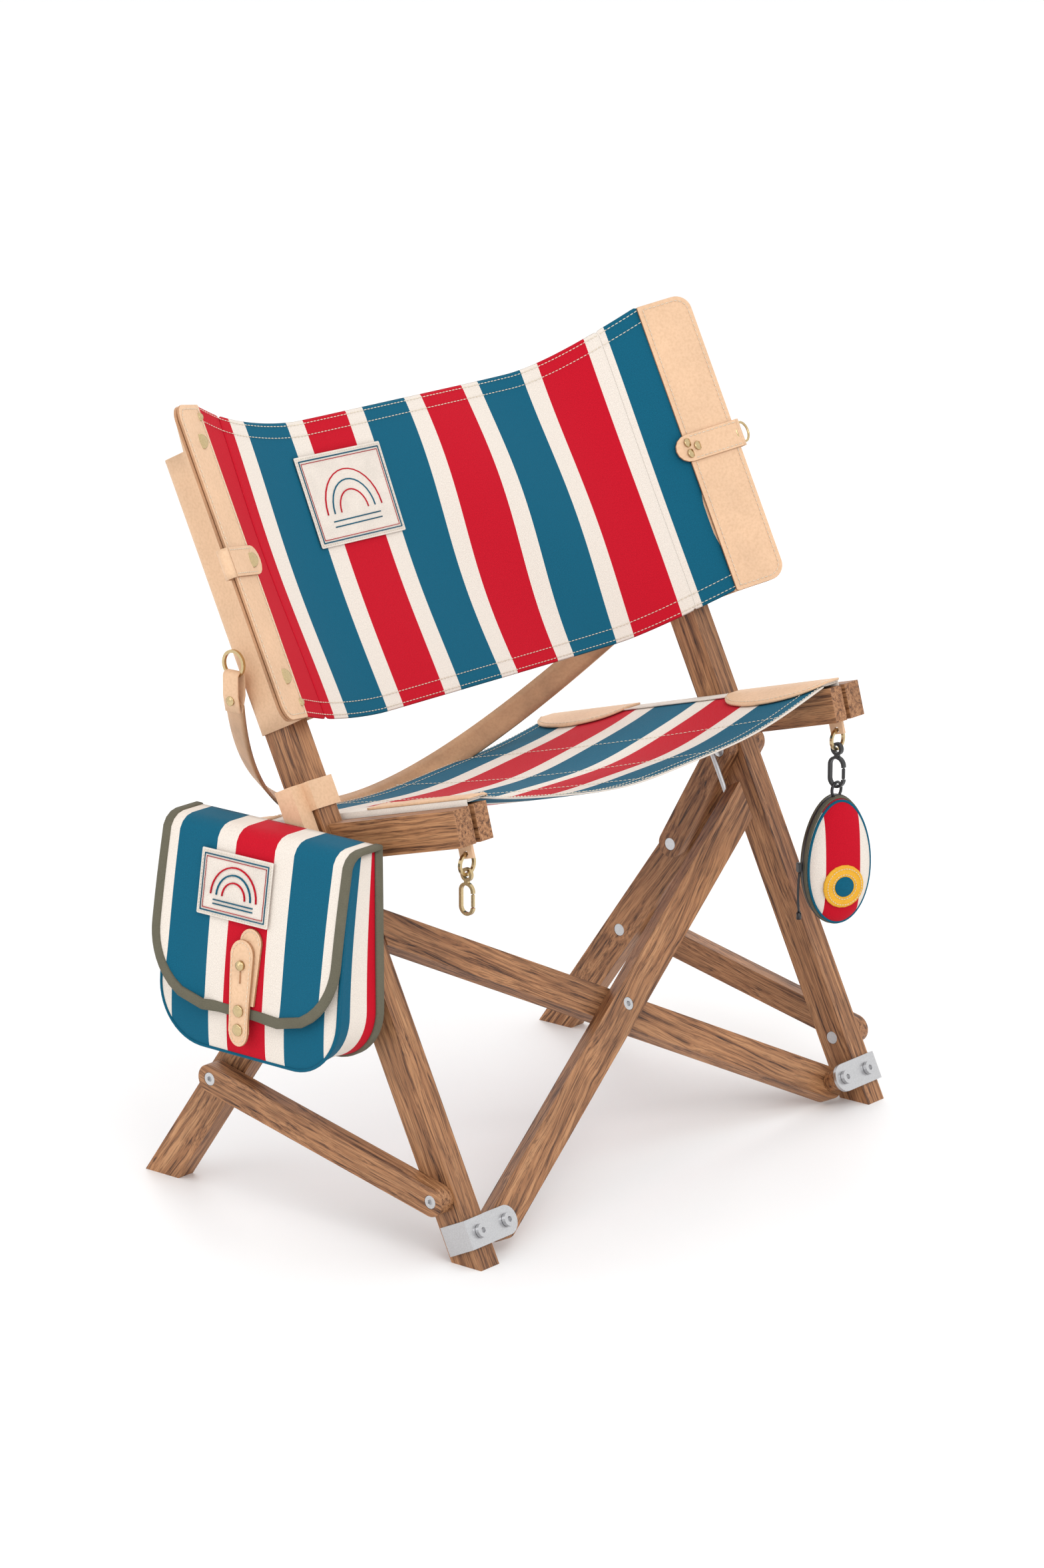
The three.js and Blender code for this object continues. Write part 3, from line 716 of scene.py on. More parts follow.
def make_sleeve(side, tag):
    """The leather sleeve round a post, its two end flaps and its belt tab."""
    out = OUT_OF_BACK
    body = f"rails_{tag}"
    width = FLAP_TIP - SEAM_X + 0.003
    height = SLEEVE_HIGH - SLEEVE_LOW
    world = flap_world(side)
    outline = mirrored(rounded_outline(width, height, (0.002, 0.014, 0.014, 0.002)), side)
    plate(f"back_flap_front_{tag}", outline, world, LEATHER, TAN, body, TAN_EDGE)

    def rear_world(x, along):
        return world(x, along) - out * 0.0042
    plate(f"back_flap_rear_{tag}", outline, rear_world, LEATHER, TAN, body, TAN_EDGE)
    inner = POST_IN - LEATHER
    outer = POST_OUT + LEATHER
    back = POST_DEEP + LEATHER
    seam = SEAM_X - 0.002
    route = [
        (SLING_EDGE + 0.001, BACK_EDGE_OFF + 0.003),
        (inner, -0.002),
        (inner, back - 0.003),
        (inner + 0.003, back),
        (outer - 0.003, back),
        (outer, back - 0.003),
        (outer, 0.004),
        (outer + 0.003, -0.012),
        (seam + 0.002, back_off(seam) + 0.004),
        (seam + 0.010, back_off(seam + 0.010) + 0.0032),
    ]
    dense = resample([Vector((x, off, 0)) for x, off in route], 0.0035)
    if dense[-1].x < seam + 0.009:
        dense.append(Vector((route[-1][0], route[-1][1], 0)))

    def at(u, v):
        point = dense[min(int(round(u * (len(dense) - 1))), len(dense) - 1)]
        top = SLEEVE_HIGH - 0.006 if point.x > POST_OUT and point.y < 0.002 else WRAP_HIGH
        return on_post(side * point.x, SLEEVE_LOW + (top - SLEEVE_LOW) * v, point.y)
    wrap = sheet_mesh(f"back_sleeve_leather_{tag}", len(dense) - 1, 10, at, TAN, body, thick=LEATHER)
    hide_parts(f"back_sleeve_{tag}")
    corners = ((inner, 0.002), (outer, 0.002), (outer, back - 0.001), (inner, back - 0.001))
    cap = mirrored([(side * x, off) for x, off in corners], side)
    plate(f"back_sleeve_cap_{tag}", cap, lambda x, off: on_post(x, WRAP_HIGH - 0.0012, off),
          0.0016, TAN_EDGE, body)
    inset = 0.004
    line = [world(inset, along) + out * 0.0002 for along in steps(inset, height - inset, 60)]
    stitches(f"back_flap_stitch_{tag}", line, out, body)
    rim = rounded_outline(width - 2 * inset, height - 2 * inset, (0.001, 0.011, 0.011, 0.001))
    ring = [world(x + inset, y + inset) + out * 0.0002 for x, y in rim]
    stitches(f"back_flap_rim_stitch_{tag}", ring + [ring[0]], out, body)
    make_belt_tab(side, tag, world, out, body)


# Each snap on the left flap: across from the seam, along from the low edge, and its radius.
FLAP_SNAPS = (
    (0.020, 0.036, 0.0066),
    (0.020, 0.238, 0.0066),
    (0.006, 0.013, 0.0034),
    (0.006, 0.259, 0.0034),
)


def make_belt_tab(side, tag, world, out, body):
    """The leather tab that buckles round the flap's edge and carries the D-ring."""
    middle = 0.607 - SLEEVE_LOW
    half = 0.0125
    tab_out = FLAP_TIP - SEAM_X + 0.004
    outline = [(tab_out, middle - half), (tab_out, middle + half)]
    outline += [(0.001 + half * math.cos(a), middle + half * math.sin(a))
                for a in steps(math.pi / 2, 1.5 * math.pi, 8)]
    outline = mirrored(outline, side)

    def lifted(x, along):
        return world(x, along) + out * 0.0026
    plate(f"belt_tab_{tag}", outline, lifted, TAB_LEATHER, TAN, body, TAN_EDGE)

    def behind(x, along):
        return world(x, along) - out * 0.0082
    plate(f"belt_tab_rear_{tag}", outline, behind, TAB_LEATHER, TAN, body, TAN_EDGE)
    bend = 0.0053
    turn = [(tab_out + bend * math.sin(a), bend * math.cos(a) - bend - 0.0011) for a in steps(0, math.pi, 8)]

    def edge_at(u, v):
        x, lift = turn[round(u * 8)]
        return world(x, middle - half + 2 * half * v) + out * (lift + 0.0020)
    sheet_mesh(f"belt_tab_turn_{tag}", 8, 4, edge_at, TAN, body, thick=TAB_LEATHER)
    spots = ((0.006, 0.0), (-0.002, 0.005), (-0.002, -0.005)) if side > 0 else ((0.006, 0.0),)
    for index, (x, y) in enumerate(spots):
        size = 0.0042 if side > 0 else 0.0066
        dome(f"belt_rivet_{tag}_{index}", lifted(x + 0.002, middle + y), out, size, BRASS, body)
    for edge, along in (("top", middle + half - 0.0025), ("low", middle - half + 0.0025)):
        line = [lifted(x, along) for x in steps(tab_out - 0.002, 0.001, 20)]
        stitches(f"belt_stitch_{edge}_{tag}", line, out, body)
    if side < 0:
        for index, (x, along, size) in enumerate(FLAP_SNAPS):
            dome(f"flap_snap_{tag}_{index}", world(x, along), out, size, BRASS, body)
    else:
        eye = world(tab_out + 0.006, middle) + out * -0.002
        foot = on_post(0, 0, 0)
        ring = [eye + Vector((0.008 * math.cos(a), 0, 0)) + (on_post(0, 0.009 * math.sin(a), 0) - foot)
                for a in circle(24)]
        tube(f"belt_ring_{tag}", ring, 0.0012, BRASS, body, closed=True)


back_soft = make_back_cloth()
for back_side, back_tag in SIDES:
    make_sleeve(back_side, back_tag)

# ---------- seat ----------
SEAT_LONG = 0.334
SEAT_SAG = 0.030
HEM_X = RAIL_OUT + 0.002


def seat_point(x, share, lift=0.0):
    inside = RAIL_IN - 0.001
    bend = 1 - min(1.0, abs(x) / inside) ** 2
    dip = (SEAT_SAG - 0.013 * share) * bend + 0.004 * math.sin(math.pi * share) * bend
    front_curve = 0.006 * bend * (1 - share) ** 3
    ripple = 0.0012 * math.sin(31.0 * x + 5.0 * share) * bend
    return on_rail(x, 0.002 + SEAT_LONG * share + front_curve, 0.0028 - dip + ripple + lift)


def seat_panel(name, x0, x1, columns, body):
    def at(u, v):
        return seat_point(x0 + (x1 - x0) * u, v)

    def uv(u, v):
        return SEAT_LONG * (1 - v), x0 + (x1 - x0) * u
    return sheet_mesh(name, columns, 24, at, SEAT_CLOTH, body, uv, thick=0.0016, subdivide=1)


def make_seat():
    """The panel between the rails, which crumples, and its two edges on the rails, which don't."""
    cloth = seat_panel("seat_cloth", -RAIL_IN, RAIL_IN, 64, "rails_left")
    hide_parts("seat_sling")
    middle = hem_line(-RAIL_IN, RAIL_IN, 0.5, seat_point, 0.0, 60)
    length_of(middle)
    soft = [cloth]
    for share, hem in ((0.012, "front_a"), (0.045, "front_b"), (0.955, "rear_a"), (0.988, "rear_b")):
        line = hem_line(-RAIL_IN, RAIL_IN, share, seat_point, 0.0010, 110)
        soft.append(stitches(f"seat_hem_stitch_{hem}", line, RAIL_UP, "rails_left"))
    for x in (-0.13, -0.04, 0.05, 0.14):
        line = [seat_point(x + 0.05 * (0.5 - k / 60), k / 60, 0.0010) for k in range(61)]
        soft.append(stitches(f"seat_line_stitch_{round(x * 1000)}", line, RAIL_UP, "rails_left"))
    for side, tag in SIDES:
        panel = seat_panel(f"seat_cloth_edge_{tag}", side * RAIL_IN, side * HEM_X, 4, f"rails_{tag}")
        make_hem(side, tag)
        for end in ("front", "rear"):
            make_patch(side, tag, end)
    return soft


def make_hem(side, tag):
    """The cream hem that goes down into the slot between a rail's two boards."""
    def at(u, v):
        x = RAIL_OUT - 0.020 + 0.0225 * min(1.0, u * 2)
        drop = 0.016 * max(0.0, u * 2 - 1)
        return on_rail(side * x, 0.004 + (SEAT_LONG - 0.006) * v, 0.0042 - drop)
    sheet_mesh(f"seat_hem_{tag}", 8, 24, at, WEBBING, f"rails_{tag}", thick=0.0012)


def make_patch(side, tag, end):
    """A half-oval leather patch over a corner of the seat, stitched near its edge."""
    long = 0.112 if end == "front" else 0.105
    deep = 0.052
    start = 0.0 if end == "front" else SEAT_LONG - long
    name = f"seat_patch_{end}_{tag}"

    def at(u, v):
        along = (start + long * u) / SEAT_LONG
        reach = deep * math.sqrt(max(0.0, 1 - ((u - 0.5) / 0.5) ** 2 * 0.93)) ** 0.8
        x = HEM_X - reach * v
        return seat_point(side * x, along, 0.0030)
    sheet_mesh(name, 36, 8, at, TAN, f"rails_{tag}", thick=0.0018)
    line = [at(u, 0.90) + RAIL_UP * 0.0010 for u in steps(0, 1, 60)]
    stitches(f"{name}_stitch", line, RAIL_UP, f"rails_{tag}")


seat_soft = make_seat()

# ---------- carry strap ----------
STRAP_END_X = 0.298
STRAP_REACH = STRAP_END_X - 0.004
STRAP_END = (0.248, 0.450)
STRAP_MIDDLE = (0.377, 0.268)


def strap_point(x, across=0.0):
    drop = 1 - (x / STRAP_END_X) ** 2
    y = STRAP_END[0] + (STRAP_MIDDLE[0] - STRAP_END[0]) * drop
    z = STRAP_END[1] + (STRAP_MIDDLE[1] - STRAP_END[1]) * drop
    down = Vector((0, STRAP_MIDDLE[0] - STRAP_END[0], STRAP_MIDDLE[1] - STRAP_END[1])).normalized()
    normal = Vector((0, -down.z, down.y))
    return place(x, y, z) + normal * across


def make_strap():
    width = 0.024
    reach = STRAP_REACH

    def at(u, v):
        return strap_point(-reach + 2 * reach * u, width * (v - 0.5))
    strap = sheet_mesh("carry_strap_leather", 72, 4, at, STRAP_TAN, "rails_left", thick=0.0028)
    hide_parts("carry_strap")
    line = [strap_point(x) for x in steps(-reach, reach, 72)]
    tuple(line[0])
    length_of(line)
    [tuple(point) for point in line]
    for side, tag in SIDES:
        make_strap_loop(side, tag)
    return [strap]


def make_strap_loop(side, tag):
    """The folded leather end that holds the strap to the backrest's ring, closed with a stud."""
    x, y = center_of(f"back_dring_{tag}").xy
    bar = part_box(f"back_dring_{tag}")[0][2] + 0.0014
    bend = 0.0042
    points = [Vector((x + side * 0.0015, y, bar - 0.030)), Vector((x + side * bend, y, bar - 0.016))]
    points += [Vector((x + side * bend * math.cos(a), y, bar + bend * math.sin(a)))
               for a in steps(0, math.pi, 10)]
    points += [Vector((x - side * bend, y, bar - 0.016)), Vector((x - side * 0.0005, y, bar - 0.030))]
    middle = Vector((x, y, bar - 0.008))
    normals = [(point - middle).normalized() for point in points]
    normals[0] = normals[1] = Vector((side, 0, 0.1)).normalized()
    normals[-1] = normals[-2] = Vector((-side, 0, 0.1)).normalized()
    ribbon(f"strap_loop_{tag}", points, normals, 0.0085, 0.0022, TAN, f"rails_{tag}")
    stud = Vector((x + side * 0.0046, y, bar - 0.020))
    dome(f"strap_loop_stud_{tag}", stud, Vector((side, 0, 0)), 0.0042, BRASS, f"rails_{tag}")


strap_soft = make_strap()

# ---------- side bag ----------
BAG_LOW, BAG_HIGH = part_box("bag_body")
BAG_BACK = BAG_HIGH[0]
BAG_Y = (BAG_LOW[1], BAG_HIGH[1])
BAG_Z = (BAG_LOW[2], BAG_HIGH[2])
BAG_MID_Y = sum(BAG_Y) / 2
BAG_HALF = (BAG_Y[1] - BAG_Y[0]) / 2
BAG_CORNER = 0.048
BAG_MIDDLE = Vector((0, BAG_MID_Y, sum(BAG_Z) / 2))
BAG_TOP_DEEP = 0.034
BAG_LOW_DEEP = 0.057


def bag_face_x(z):
    """The x of the bag's face at a height: it stands further out at the bottom."""
    share = min(1.0, max(0.0, (BAG_Z[1] - z) / (BAG_Z[1] - BAG_Z[0])))
    deep = BAG_TOP_DEEP + (BAG_LOW_DEEP - BAG_TOP_DEEP) * (1 - (1 - share) ** 1.6)
    return BAG_BACK - deep


def bag_outline(t):
    """A point (y, z) round the bag's outline, for t from 0 at the top front down and round to 1."""
    radius = BAG_CORNER
    flat = 2 * (BAG_HALF - radius)
    drop = BAG_Z[1] - BAG_Z[0] - radius
    arc = math.pi * radius / 2
    total = 2 * drop + 2 * arc + flat
    d = t * total
    if d < drop:
        return BAG_Y[0], BAG_Z[1] - d
    d -= drop
    if d < arc:
        angle = math.pi + d / radius
        return BAG_Y[0] + radius + radius * math.cos(angle), BAG_Z[0] + radius + radius * math.sin(angle)
    d -= arc
    if d < flat:
        return BAG_Y[0] + radius + d, BAG_Z[0]
    d -= flat
    if d < arc:
        angle = 1.5 * math.pi + d / radius
        return BAG_Y[1] - radius + radius * math.cos(angle), BAG_Z[0] + radius + radius * math.sin(angle)
    d -= arc
    return BAG_Y[1], BAG_Z[0] + radius + d


def bag_outward(y, z):
    """The direction away from the middle of the bag, seen from its side."""
    return (Vector((0, y, z)) - BAG_MIDDLE).normalized()


def bag_uv(at):
    """The UV, in metres, of a panel whose points are at(u, v)."""
    return lambda u, v: (at(u, v).y - BAG_MID_Y, at(u, v).z)


def make_bag():
    def gusset(u, v):
        y, z = bag_outline(u)
        pinch = 0.0045 * math.sin(math.pi * v) * (0.6 + 0.4 * math.sin(7 * u))
        return Vector((BAG_BACK + (bag_face_x(z) - BAG_BACK) * v, y, z)) - bag_outward(y, z) * pinch
    side = sheet_mesh("bag_gusset", 96, 10, gusset, BAG_SIDE_CLOTH, "rails_left",
                      uv=lambda u, v: (0.055 * v, 0.5 * u), thick=0.0012)
    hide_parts("bag_body")

    def face(front, name):
        """A panel in rows from the mouth down to the rounded bottom."""
        radius = BAG_CORNER

        def at(u, v):
            z = BAG_Z[1] - (BAG_Z[1] - BAG_Z[0]) * v
            above = max(0.0, radius - (z - BAG_Z[0]))
            half = BAG_HALF - radius + math.sqrt(max(0.0, radius ** 2 - above ** 2))
            y = BAG_MID_Y + half * (2 * u - 1)
            if not front:
                return Vector((BAG_BACK, y, z))
            swell = 0.0035 * math.sin(math.pi * u) ** 0.5 * math.sin(math.pi * v) ** 0.5
            return Vector((bag_face_x(z) - swell, y, z))
        return sheet_mesh(name, 30, 40, at, BAG_CLOTH, "rails_left", bag_uv(at))
    face(True, "bag_front_panel")
    face(False, "bag_back_panel")
    top_face = bag_face_x(BAG_Z[1])
    top = [Vector((x, y, BAG_Z[1])) for x, y in (
        (BAG_BACK, BAG_Y[0]), (top_face, BAG_Y[0]), (top_face, BAG_Y[1]), (BAG_BACK, BAG_Y[1]))]
    sheet_mesh("bag_mouth", 6, 6, lambda u, v: top[0].lerp(top[1], u).lerp(top[3].lerp(top[2], u), v)
               - Vector((0, 0, 0.010 * math.sin(math.pi * u) ** 0.5 * math.sin(math.pi * v) ** 0.5)),
               TEAL, "rails_left")
    rim = [bag_outline(t) for t in steps(0, 1, 90)]
    seam = [Vector((bag_face_x(z), y, z)) for y, z in rim]
    tube("bag_piping_front", seam, 0.0014, TEAL, "rails_left")
    back = [Vector((BAG_BACK - 0.003, y, z)) for y, z in rim]
    normals = [bag_outward(y, z) for y, z in rim]
    ribbon("bag_binding_back", back, normals, 0.0045, 0.0032, BINDING, "rails_left")


FLAP_BOX_LOW, FLAP_BOX_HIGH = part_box("bag_flap")
FLAP_TOP = FLAP_BOX_HIGH[2]


OUT_OF_BAG = Vector((-1, 0, 0))


def flap_x(z):
    return bag_face_x(z) - 0.0060


def flap_rows():
    """The flap's centre line (x, z), from the bag's back over its mouth and down its face."""
    radius = 0.015
    high = FLAP_TOP - 0.0015
    points = [Vector((FLAP_BOX_HIGH[0], 0, high))]
    corner_x = flap_x(high - radius) + radius
    turn = high - radius
    points += [Vector((corner_x + radius * math.cos(a), 0, turn + radius * math.sin(a)))
               for a in steps(math.pi / 2, math.pi, 8)]
    points += [Vector((flap_x(z), 0, z)) for z in steps(turn, FLAP_BOX_LOW[2] - 0.004, 12)[1:]]
    return resample(points, 0.006)


def make_flap():
    rows = flap_rows()
    count = len(rows) - 1
    half = (FLAP_BOX_HIGH[1] - FLAP_BOX_LOW[1]) / 2 - 0.001
    corner = 0.058
    low = rows[-1].z

    def half_at(row):
        above = row.z - low
        if above >= corner:
            return half
        return half - corner + math.sqrt(max(0.0, corner ** 2 - (corner - above) ** 2))

    def at(u, v):
        row = rows[round(v * count)]
        y = BAG_MID_Y + half_at(row) * (2 * u - 1)
        fall = max(0.0, (FLAP_TOP - row.z) / 0.16)
        lifted = 0.0045 * abs(2 * u - 1) ** 3 * fall + 0.0006 * math.sin(7.0 * (2 * u - 1)) * fall
        return Vector((row.x - lifted, y, row.z))
    flap = sheet_mesh("bag_flap_cloth", 44, count, at, BAG_CLOTH, "flap", bag_uv(at), thick=0.0018)
    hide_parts("bag_flap")

    def facing(v):
        k = round(v * count)
        along = (rows[min(k + 1, count)] - rows[max(k - 1, 0)]).normalized()
        return Vector((along.z, 0, -along.x))
    stations = [(0, k / count) for k in range(count)]
    stations += [(k / 40, 1) for k in range(41)]
    stations += [(1, 1 - k / count) for k in range(1, count + 1)]
    edge = [at(u, v) for u, v in stations]
    normals = [facing(v) for _, v in stations]
    ribbon("bag_flap_binding", edge, normals, 0.0045, 0.0042, BINDING, "flap")
    inner = [at(0.055 + 0.89 * u, v * 0.975) + facing(v * 0.975) * -0.0012 for u, v in stations]
    stitches("bag_flap_stitch", inner, Vector((-1, 0, 0.2)), "flap", **LABEL_THREAD)

    def label_world(x, y):
        z = 0.276 + y
        return Vector((flap_x(z) - 0.0030, BAG_MID_Y + 0.016 - x, z))
    make_label("bag_label", label_world, 0.078, 0.054, OUT_OF_BAG, "flap")


def make_label(name, world, width, height, out, body):
    """A sewn label with a plain double border, three arcs and two bars, and no lettering."""
    x0 = -width / 2
    outline = [(x0 + a, b) for a, b in rounded_outline(width, height, (0.001,) * 4, 2)]
    plate(name, outline, world, -0.0008, WEBBING, body, bevel=0.0002)

    def line(points, lift=0.0012):
        return [world(x, y) + out * lift for x, y in points]

    def border(inset):
        return [(x0 + inset, inset), (x0 + width - inset, inset),
                (x0 + width - inset, height - inset), (x0 + inset, height - inset)]
    tube(f"{name}_border_blue", line(border(0.004)), 0.0007, TEAL, body, closed=True, sides=4)
    tube(f"{name}_border_red", line(border(0.0062)), 0.0004, POUCH_RED, body, closed=True, sides=4)
    for index, (share, material) in enumerate(((0.16, POUCH_RED), (0.24, TEAL), (0.32, POUCH_RED))):
        radius = share * width
        arc = [(radius * math.cos(a), height * 0.34 + radius * math.sin(a)) for a in steps(0, math.pi, 16)]
        tube(f"{name}_sun_{index}", line(arc), 0.0008, material, body, sides=4)
    for index, share in enumerate((0.20, 0.26)):
        bar = [(-0.28 * width, height * share), (0.28 * width, height * share)]
        tube(f"{name}_wave_{index}", line(bar), 0.0006, TEAL, body, sides=4)
    rim = border(0.0018)
    stitches(f"{name}_stitch", line(rim + rim[:1], 0.0009), out, body, **LABEL_THREAD)


STRAP_WAIST = 0.16


def closing_outline(half, height):
    """A strap with a round top, a narrower round bottom, and sides that curve from one to the other."""
    def width_at(share):
        return half * (1 - STRAP_WAIST * math.sin(math.pi * share / 2) ** 2)
    top = height - half
    outline = [(half * math.cos(a), top + half * math.sin(a)) for a in steps(0, math.pi, 12)]
    outline += [(-width_at(share), top + (half - top) * share) for share in steps(0, 1, 6)]
    narrow = half * (1 - STRAP_WAIST)
    outline += [(narrow * math.cos(a), half + half * math.sin(a)) for a in steps(math.pi, 2 * math.pi, 12)]
    return outline + [(width_at(share), top + (half - top) * share) for share in steps(1, 0, 6)]


def make_closing_strap():
    low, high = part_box("closing_strap")
    middle_y = center_of("closing_strap").y
    half = (high[1] - low[1]) / 2 + 0.0012
    height = high[2] - low[2] - 0.003
    out = OUT_OF_BAG

    def world(x, z):
        return Vector((flap_x(low[2] + z) - 0.0060, middle_y - x, low[2] + z))
    outline = closing_outline(half, height)
    strap = plate("closing_strap_leather", outline, world, 0.0026, TAN, "flap", TAN_EDGE)
    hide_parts("closing_strap")
    rim = [world(x * 0.80, height / 2 + (z - height / 2) * 0.95) + out * 0.0003 for x, z in outline]
    stitches("closing_strap_stitch", rim + [rim[0]], out, "flap", length=0.0026, space=0.0012, radius=0.0003)
    for index, z in enumerate((0.014, 0.030)):
        dome(f"closing_rivet_{index}", world(0, z), out, 0.0052, BRASS, "flap")
    stud_z = center_of("bag_stud").z
    center = Vector((flap_x(stud_z) - 0.0058, middle_y, stud_z))
    stud = dome("bag_stud_head", center, out, 0.0042, BRASS, "flap", high=0.0045)
    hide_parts("bag_stud")
    slit = [world(0, z) + out * 0.0001 for z in steps(stud_z - low[2] - 0.005, stud_z - low[2] - 0.015, 4)]
    tube("closing_strap_slit", slit, 0.0007, TAN_EDGE, "flap", sides=6)
    arc = [(half * 0.95 * math.cos(a), half * 0.95 * math.sin(a)) for a in steps(0, math.pi, 12)]
    tab = arc + [(-half * 0.6, -0.052), (half * 0.6, -0.052)]

    def tab_world(x, z):
        place_z = low[2] + height - 0.002 + z
        return Vector((flap_x(place_z) - 0.0032, middle_y - 0.006 - x, place_z))
    plate("closing_tab_leather", tab, tab_world, TAB_LEATHER, TAN, "flap", TAN_EDGE)
    edge = [tab_world(x * 0.82, z * 0.82) + out * 0.0002 for x, z in arc]
    stitches("closing_tab_stitch", edge, out, "flap", length=0.0024, space=0.0011, radius=0.0003)


make_bag()
make_flap()
make_closing_strap()


def dress_straps():
    """Leather on the CAD's bag loop and on the rails' ring tabs."""
    for name, edge in (("bag_loop", 0.0008), ("rail_tab_left", 0.0006), ("rail_tab_right", 0.0006)):
        set_material(frame["nodes"][name], TAN)
        soften(frame["nodes"][name], edge)


dress_straps()

# ---------- pouch ----------
POUCH_LOW, POUCH_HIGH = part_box("pouch_body")
POUCH_X, POUCH_Y = center_of("pouch_body").xy
POUCH_DEEP = POUCH_HIGH[1] - POUCH_LOW[1]
POUCH_R = (POUCH_HIGH[0] - POUCH_LOW[0]) / 2
POUCH_TOP_R = 0.027
POUCH_TALL = 0.115


def pouch_rim(t):
    """A point (x, z) round the pouch's egg outline for t from 0 to 1, starting at its lowest point."""
    low = POUCH_LOW[2] + POUCH_R
    high = POUCH_LOW[2] + POUCH_TALL - POUCH_TOP_R
    angle = 2 * math.pi * t - math.pi / 2
    share = (1 + math.sin(angle)) / 2
    radius = POUCH_R + (POUCH_TOP_R - POUCH_R) * share
    center = low + (high - low) * share
    return POUCH_X + radius * math.cos(angle), center + radius * math.sin(angle)


POUCH_TURN = math.radians(-28)
POUCH_SLIM = 0.92


def turned(point):
    """A pouch point turned about the pouch's upright axis, as it hangs from its swivel."""
    x = (point.x - POUCH_X) * POUCH_SLIM
    y = point.y - POUCH_Y
    return Vector((
        POUCH_X + x * math.cos(POUCH_TURN) - y * math.sin(POUCH_TURN),
        POUCH_Y + x * math.sin(POUCH_TURN) + y * math.cos(POUCH_TURN),
        point.z,
    ))


def make_pouch():
    middle = Vector((POUCH_X, POUCH_Y, POUCH_LOW[2] + POUCH_R * 1.15))
    half = POUCH_DEEP / 2

    def shell(sign):
        def at(u, v):
            x, z = pouch_rim(u)
            rim = Vector((x, POUCH_Y, z))
            point = middle.lerp(rim, math.sin(v * math.pi / 2))
            depth = half * math.cos(v * math.pi / 2) ** 0.55
            return point + Vector((0, sign * depth, 0))
        return at
    cloth = striped("stripes_pouch", 0.036, 0.050, -0.018, RED, RED)
    for sign, tag in ((-1, "front"), (1, "back")):
        at = shell(sign)
        piece = sheet_mesh(f"pouch_shell_{tag}", 64, 14, lambda u, v, at=at: turned(at(u, v)), cloth, "pouch",
                           uv=lambda u, v, at=at: (at(u, v).x - POUCH_X, at(u, v).z))
        if sign < 0:
            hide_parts("pouch_body")
    ring = [turned(Vector((x, POUCH_Y, z))) for x, z in (pouch_rim(k / 72) for k in range(72))]
    hub = turned(middle)
    normals = [(point - hub).normalized() for point in ring]
    ribbon("pouch_zip_tape", ring, normals, 0.0062, 0.0026, BINDING, "pouch", closed=True)
    teeth = [point + normal * 0.0012 for point, normal in zip(ring, normals)]
    ribbon("pouch_zip_teeth", teeth, normals, 0.0016, 0.0014, BLACK, "pouch", closed=True)
    front = [turned(shell(-1)(k / 72, 0.84)) for k in range(72)]
    tube("pouch_piping", front, 0.0013, TEAL, "pouch", closed=True)
    face = turned(Vector((0, -1, 0)) + Vector((POUCH_X, POUCH_Y, 0))) - Vector((POUCH_X, POUCH_Y, 0))
    face.z = 0.0
    face.normalize()
    side = Vector((-face.y, face.x, 0))
    center = turned(Vector((POUCH_X, POUCH_Y - half, middle.z - 0.008)))
    dome("pouch_patch", center - face * 0.001, face, 0.0195, YELLOW, "pouch", high=0.0030)
    for index, size in enumerate((0.0165, 0.0112)):
        rim = [center + face * 0.0022 + side * size * math.cos(a) + Vector((0, 0, size * math.sin(a)))
               for a in steps(0, 2 * math.pi, 44)]
        stitches(f"pouch_patch_ring_{index}", rim, face, "pouch", length=0.0018, space=0.0008, radius=0.0004)
    dome("pouch_patch_centre", center + face * 0.0012, face, 0.0092, TEAL, "pouch", 0.0022)
    grip = Vector((POUCH_X, POUCH_Y, POUCH_HIGH[2] - 0.008))
    loop = [grip + Vector((0.0068 * math.cos(a), 0, 0.0068 * math.sin(a)))
            for a in circle(28)]
    tube("pouch_loop", loop, 0.0014, BLACK, "pouch", closed=True)
    make_zip_pull()


def make_zip_pull():
    height = center_of("zip_slider").z
    rim = [pouch_rim(k / 400) for k in range(200, 400)]
    x, z = min(rim, key=lambda point: abs(point[1] - height))
    at = turned(Vector((x, POUCH_Y, z)))
    outward = Vector((-math.cos(POUCH_TURN), -math.sin(POUCH_TURN), 0))
    across = Vector((outward.y, -outward.x, 0))

    def world(x, z):
        return at + outward * 0.0032 + across * x + Vector((0, 0, z - 0.0045))
    outline = [(x - 0.0035, z) for x, z in rounded_outline(0.007, 0.009, (0.002,) * 4, 4)]
    slider = plate("zip_slider_body", outline, world, 0.003, BLACK, "slider", bevel=0.0008)
    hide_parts("zip_slider")
    start = at + outward * 0.0040 + Vector((0, 0, -0.004))
    line = [start + outward * (0.0012 * math.sin(k / 3)) + Vector((0, 0, -0.0042 * k)) for k in range(10)]
    pull = tube("zip_pull_cord", line, 0.0011, BLACK, "slider")
    knot = tube("zip_pull_knot", [line[-1], line[-1] + Vector((0, 0, -0.006))], 0.0022, BLACK, "slider")
    tuple(line[0])
    length_of(line)
    [tuple(point) for point in line]


make_pouch()

# ---------- backrest label ----------
def back_label_world(x, y):
    return back_point(-0.109 + x, 0.566 + y / 0.257, 0.0020)


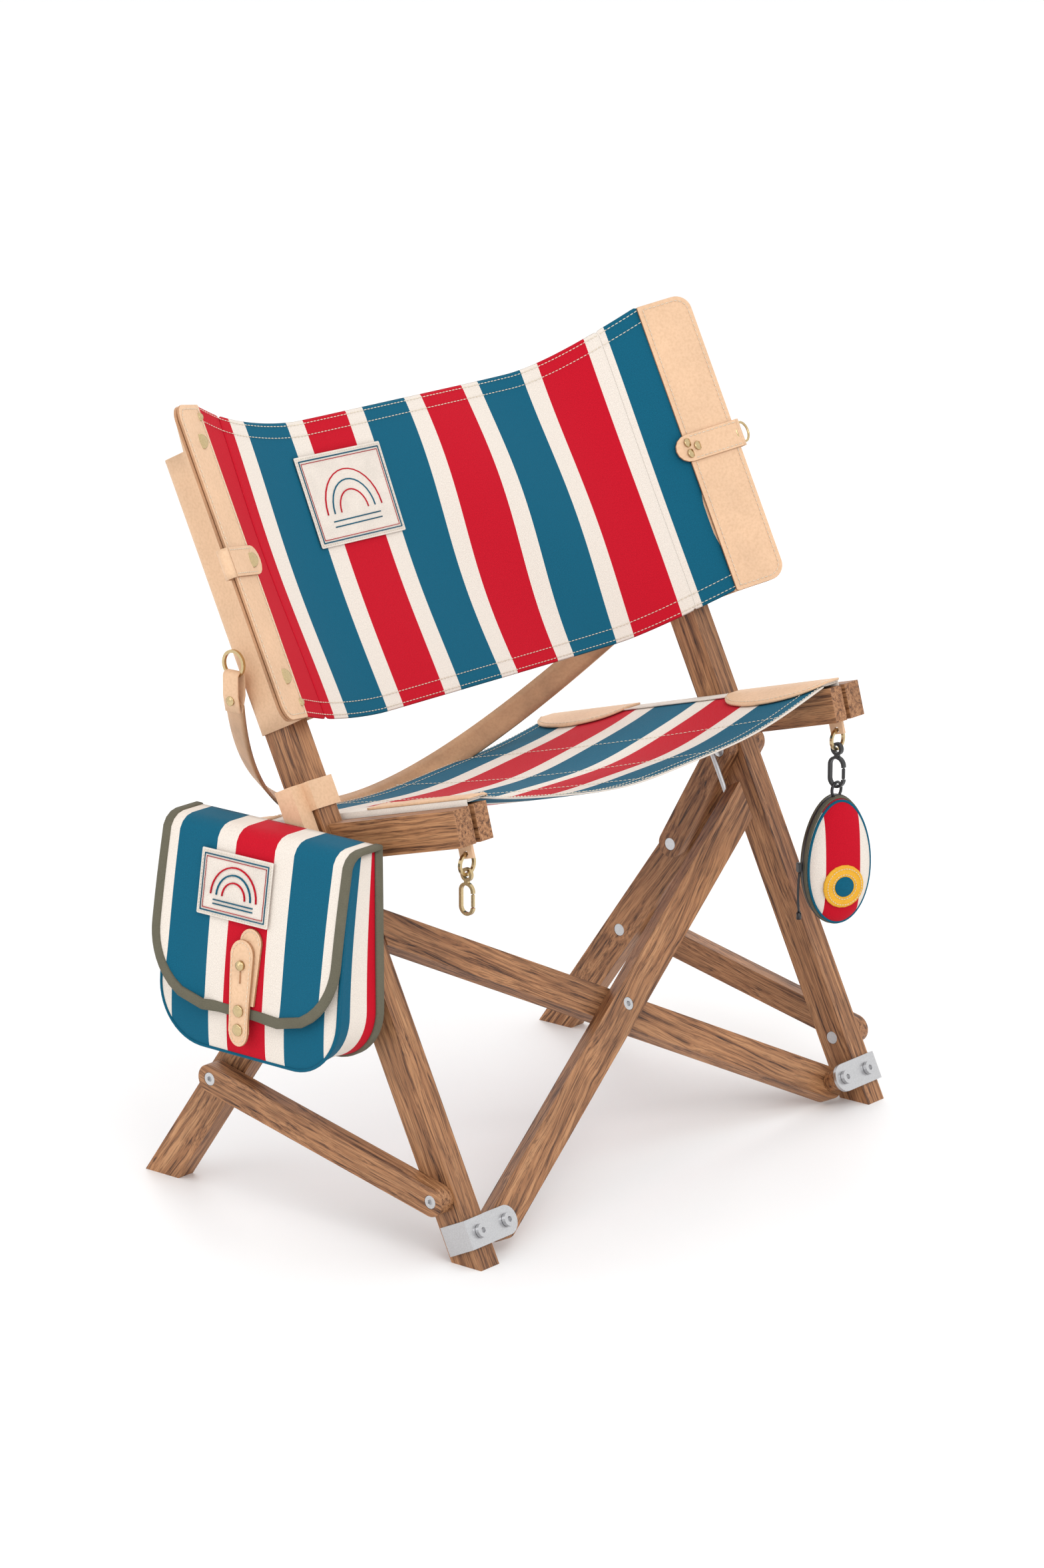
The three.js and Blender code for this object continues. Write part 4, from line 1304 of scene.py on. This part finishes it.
make_label("back_label", back_label_world, 0.112, 0.079, OUT_OF_BACK, "rails_left")
back_soft += [piece for piece in bpy.data.objects if piece.name.startswith("back_label")]

# ---------- soft pieces get their own mesh data ------
for pieces, edge in ((back_soft, SLING_EDGE), (seat_soft, RAIL_IN), (strap_soft, STRAP_REACH)):
    for piece in pieces:
        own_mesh(piece)


# ---------- floor, light and camera ----------
def make_stage():
    mesh = bpy.data.meshes.new("floor")
    bm = bmesh.new()
    bmesh.ops.create_circle(bm, cap_ends=True, segments=64, radius=60.0)
    bm.to_mesh(mesh)
    bm.free()
    material, _, shader = new_material("floor")
    set_inputs(shader, {"Base Color": (0.88, 0.88, 0.88, 1), "Roughness": 0.7})
    finish_object("floor", mesh, material, None)


def area_light(name, location, size, power):
    data = bpy.data.lights.new(name, "AREA")
    data.shape = "RECTANGLE"
    data.size = size
    data.size_y = size
    data.energy = power
    light = bpy.data.objects.new(name, data)
    light.location = location
    target = Vector((0, 0, 0.35))
    light.rotation_euler = (target - Vector(location)).to_track_quat("-Z", "Y").to_euler()
    bpy.context.scene.collection.objects.link(light)


def make_light():
    world = bpy.data.worlds.new("studio")
    bpy.context.scene.world = world
    world.use_nodes = True
    background = world.node_tree.nodes["Background"]
    background.inputs[0].default_value = (1, 1, 1, 1)
    background.inputs[1].default_value = 1.13
    area_light("key", (-1.6, -2.4, 2.6), 1.6, 36)
    area_light("fill", (-3.0, 0.8, 1.8), 2.0, 13)
    area_light("rim", (2.2, 1.8, 2.4), 1.4, 18)
    bpy.context.scene.view_settings.view_transform = "Standard"


def make_camera():
    data = bpy.data.cameras.new("camera")
    data.sensor_width = 36.0
    data.lens = 117.5
    camera = bpy.data.objects.new("camera", data)
    camera.location = place(-3.271, -2.521, 1.500)
    azimuth = math.radians(-50.36)
    elevation = math.radians(15.54)
    look = Vector((
        -math.sin(azimuth) * math.cos(elevation),
        math.cos(azimuth) * math.cos(elevation),
        -math.sin(elevation),
    ))
    camera.rotation_euler = look.to_track_quat("-Z", "Y").to_euler()
    bpy.context.scene.collection.objects.link(camera)
    bpy.context.scene.camera = camera


make_stage()
make_light()
make_camera()
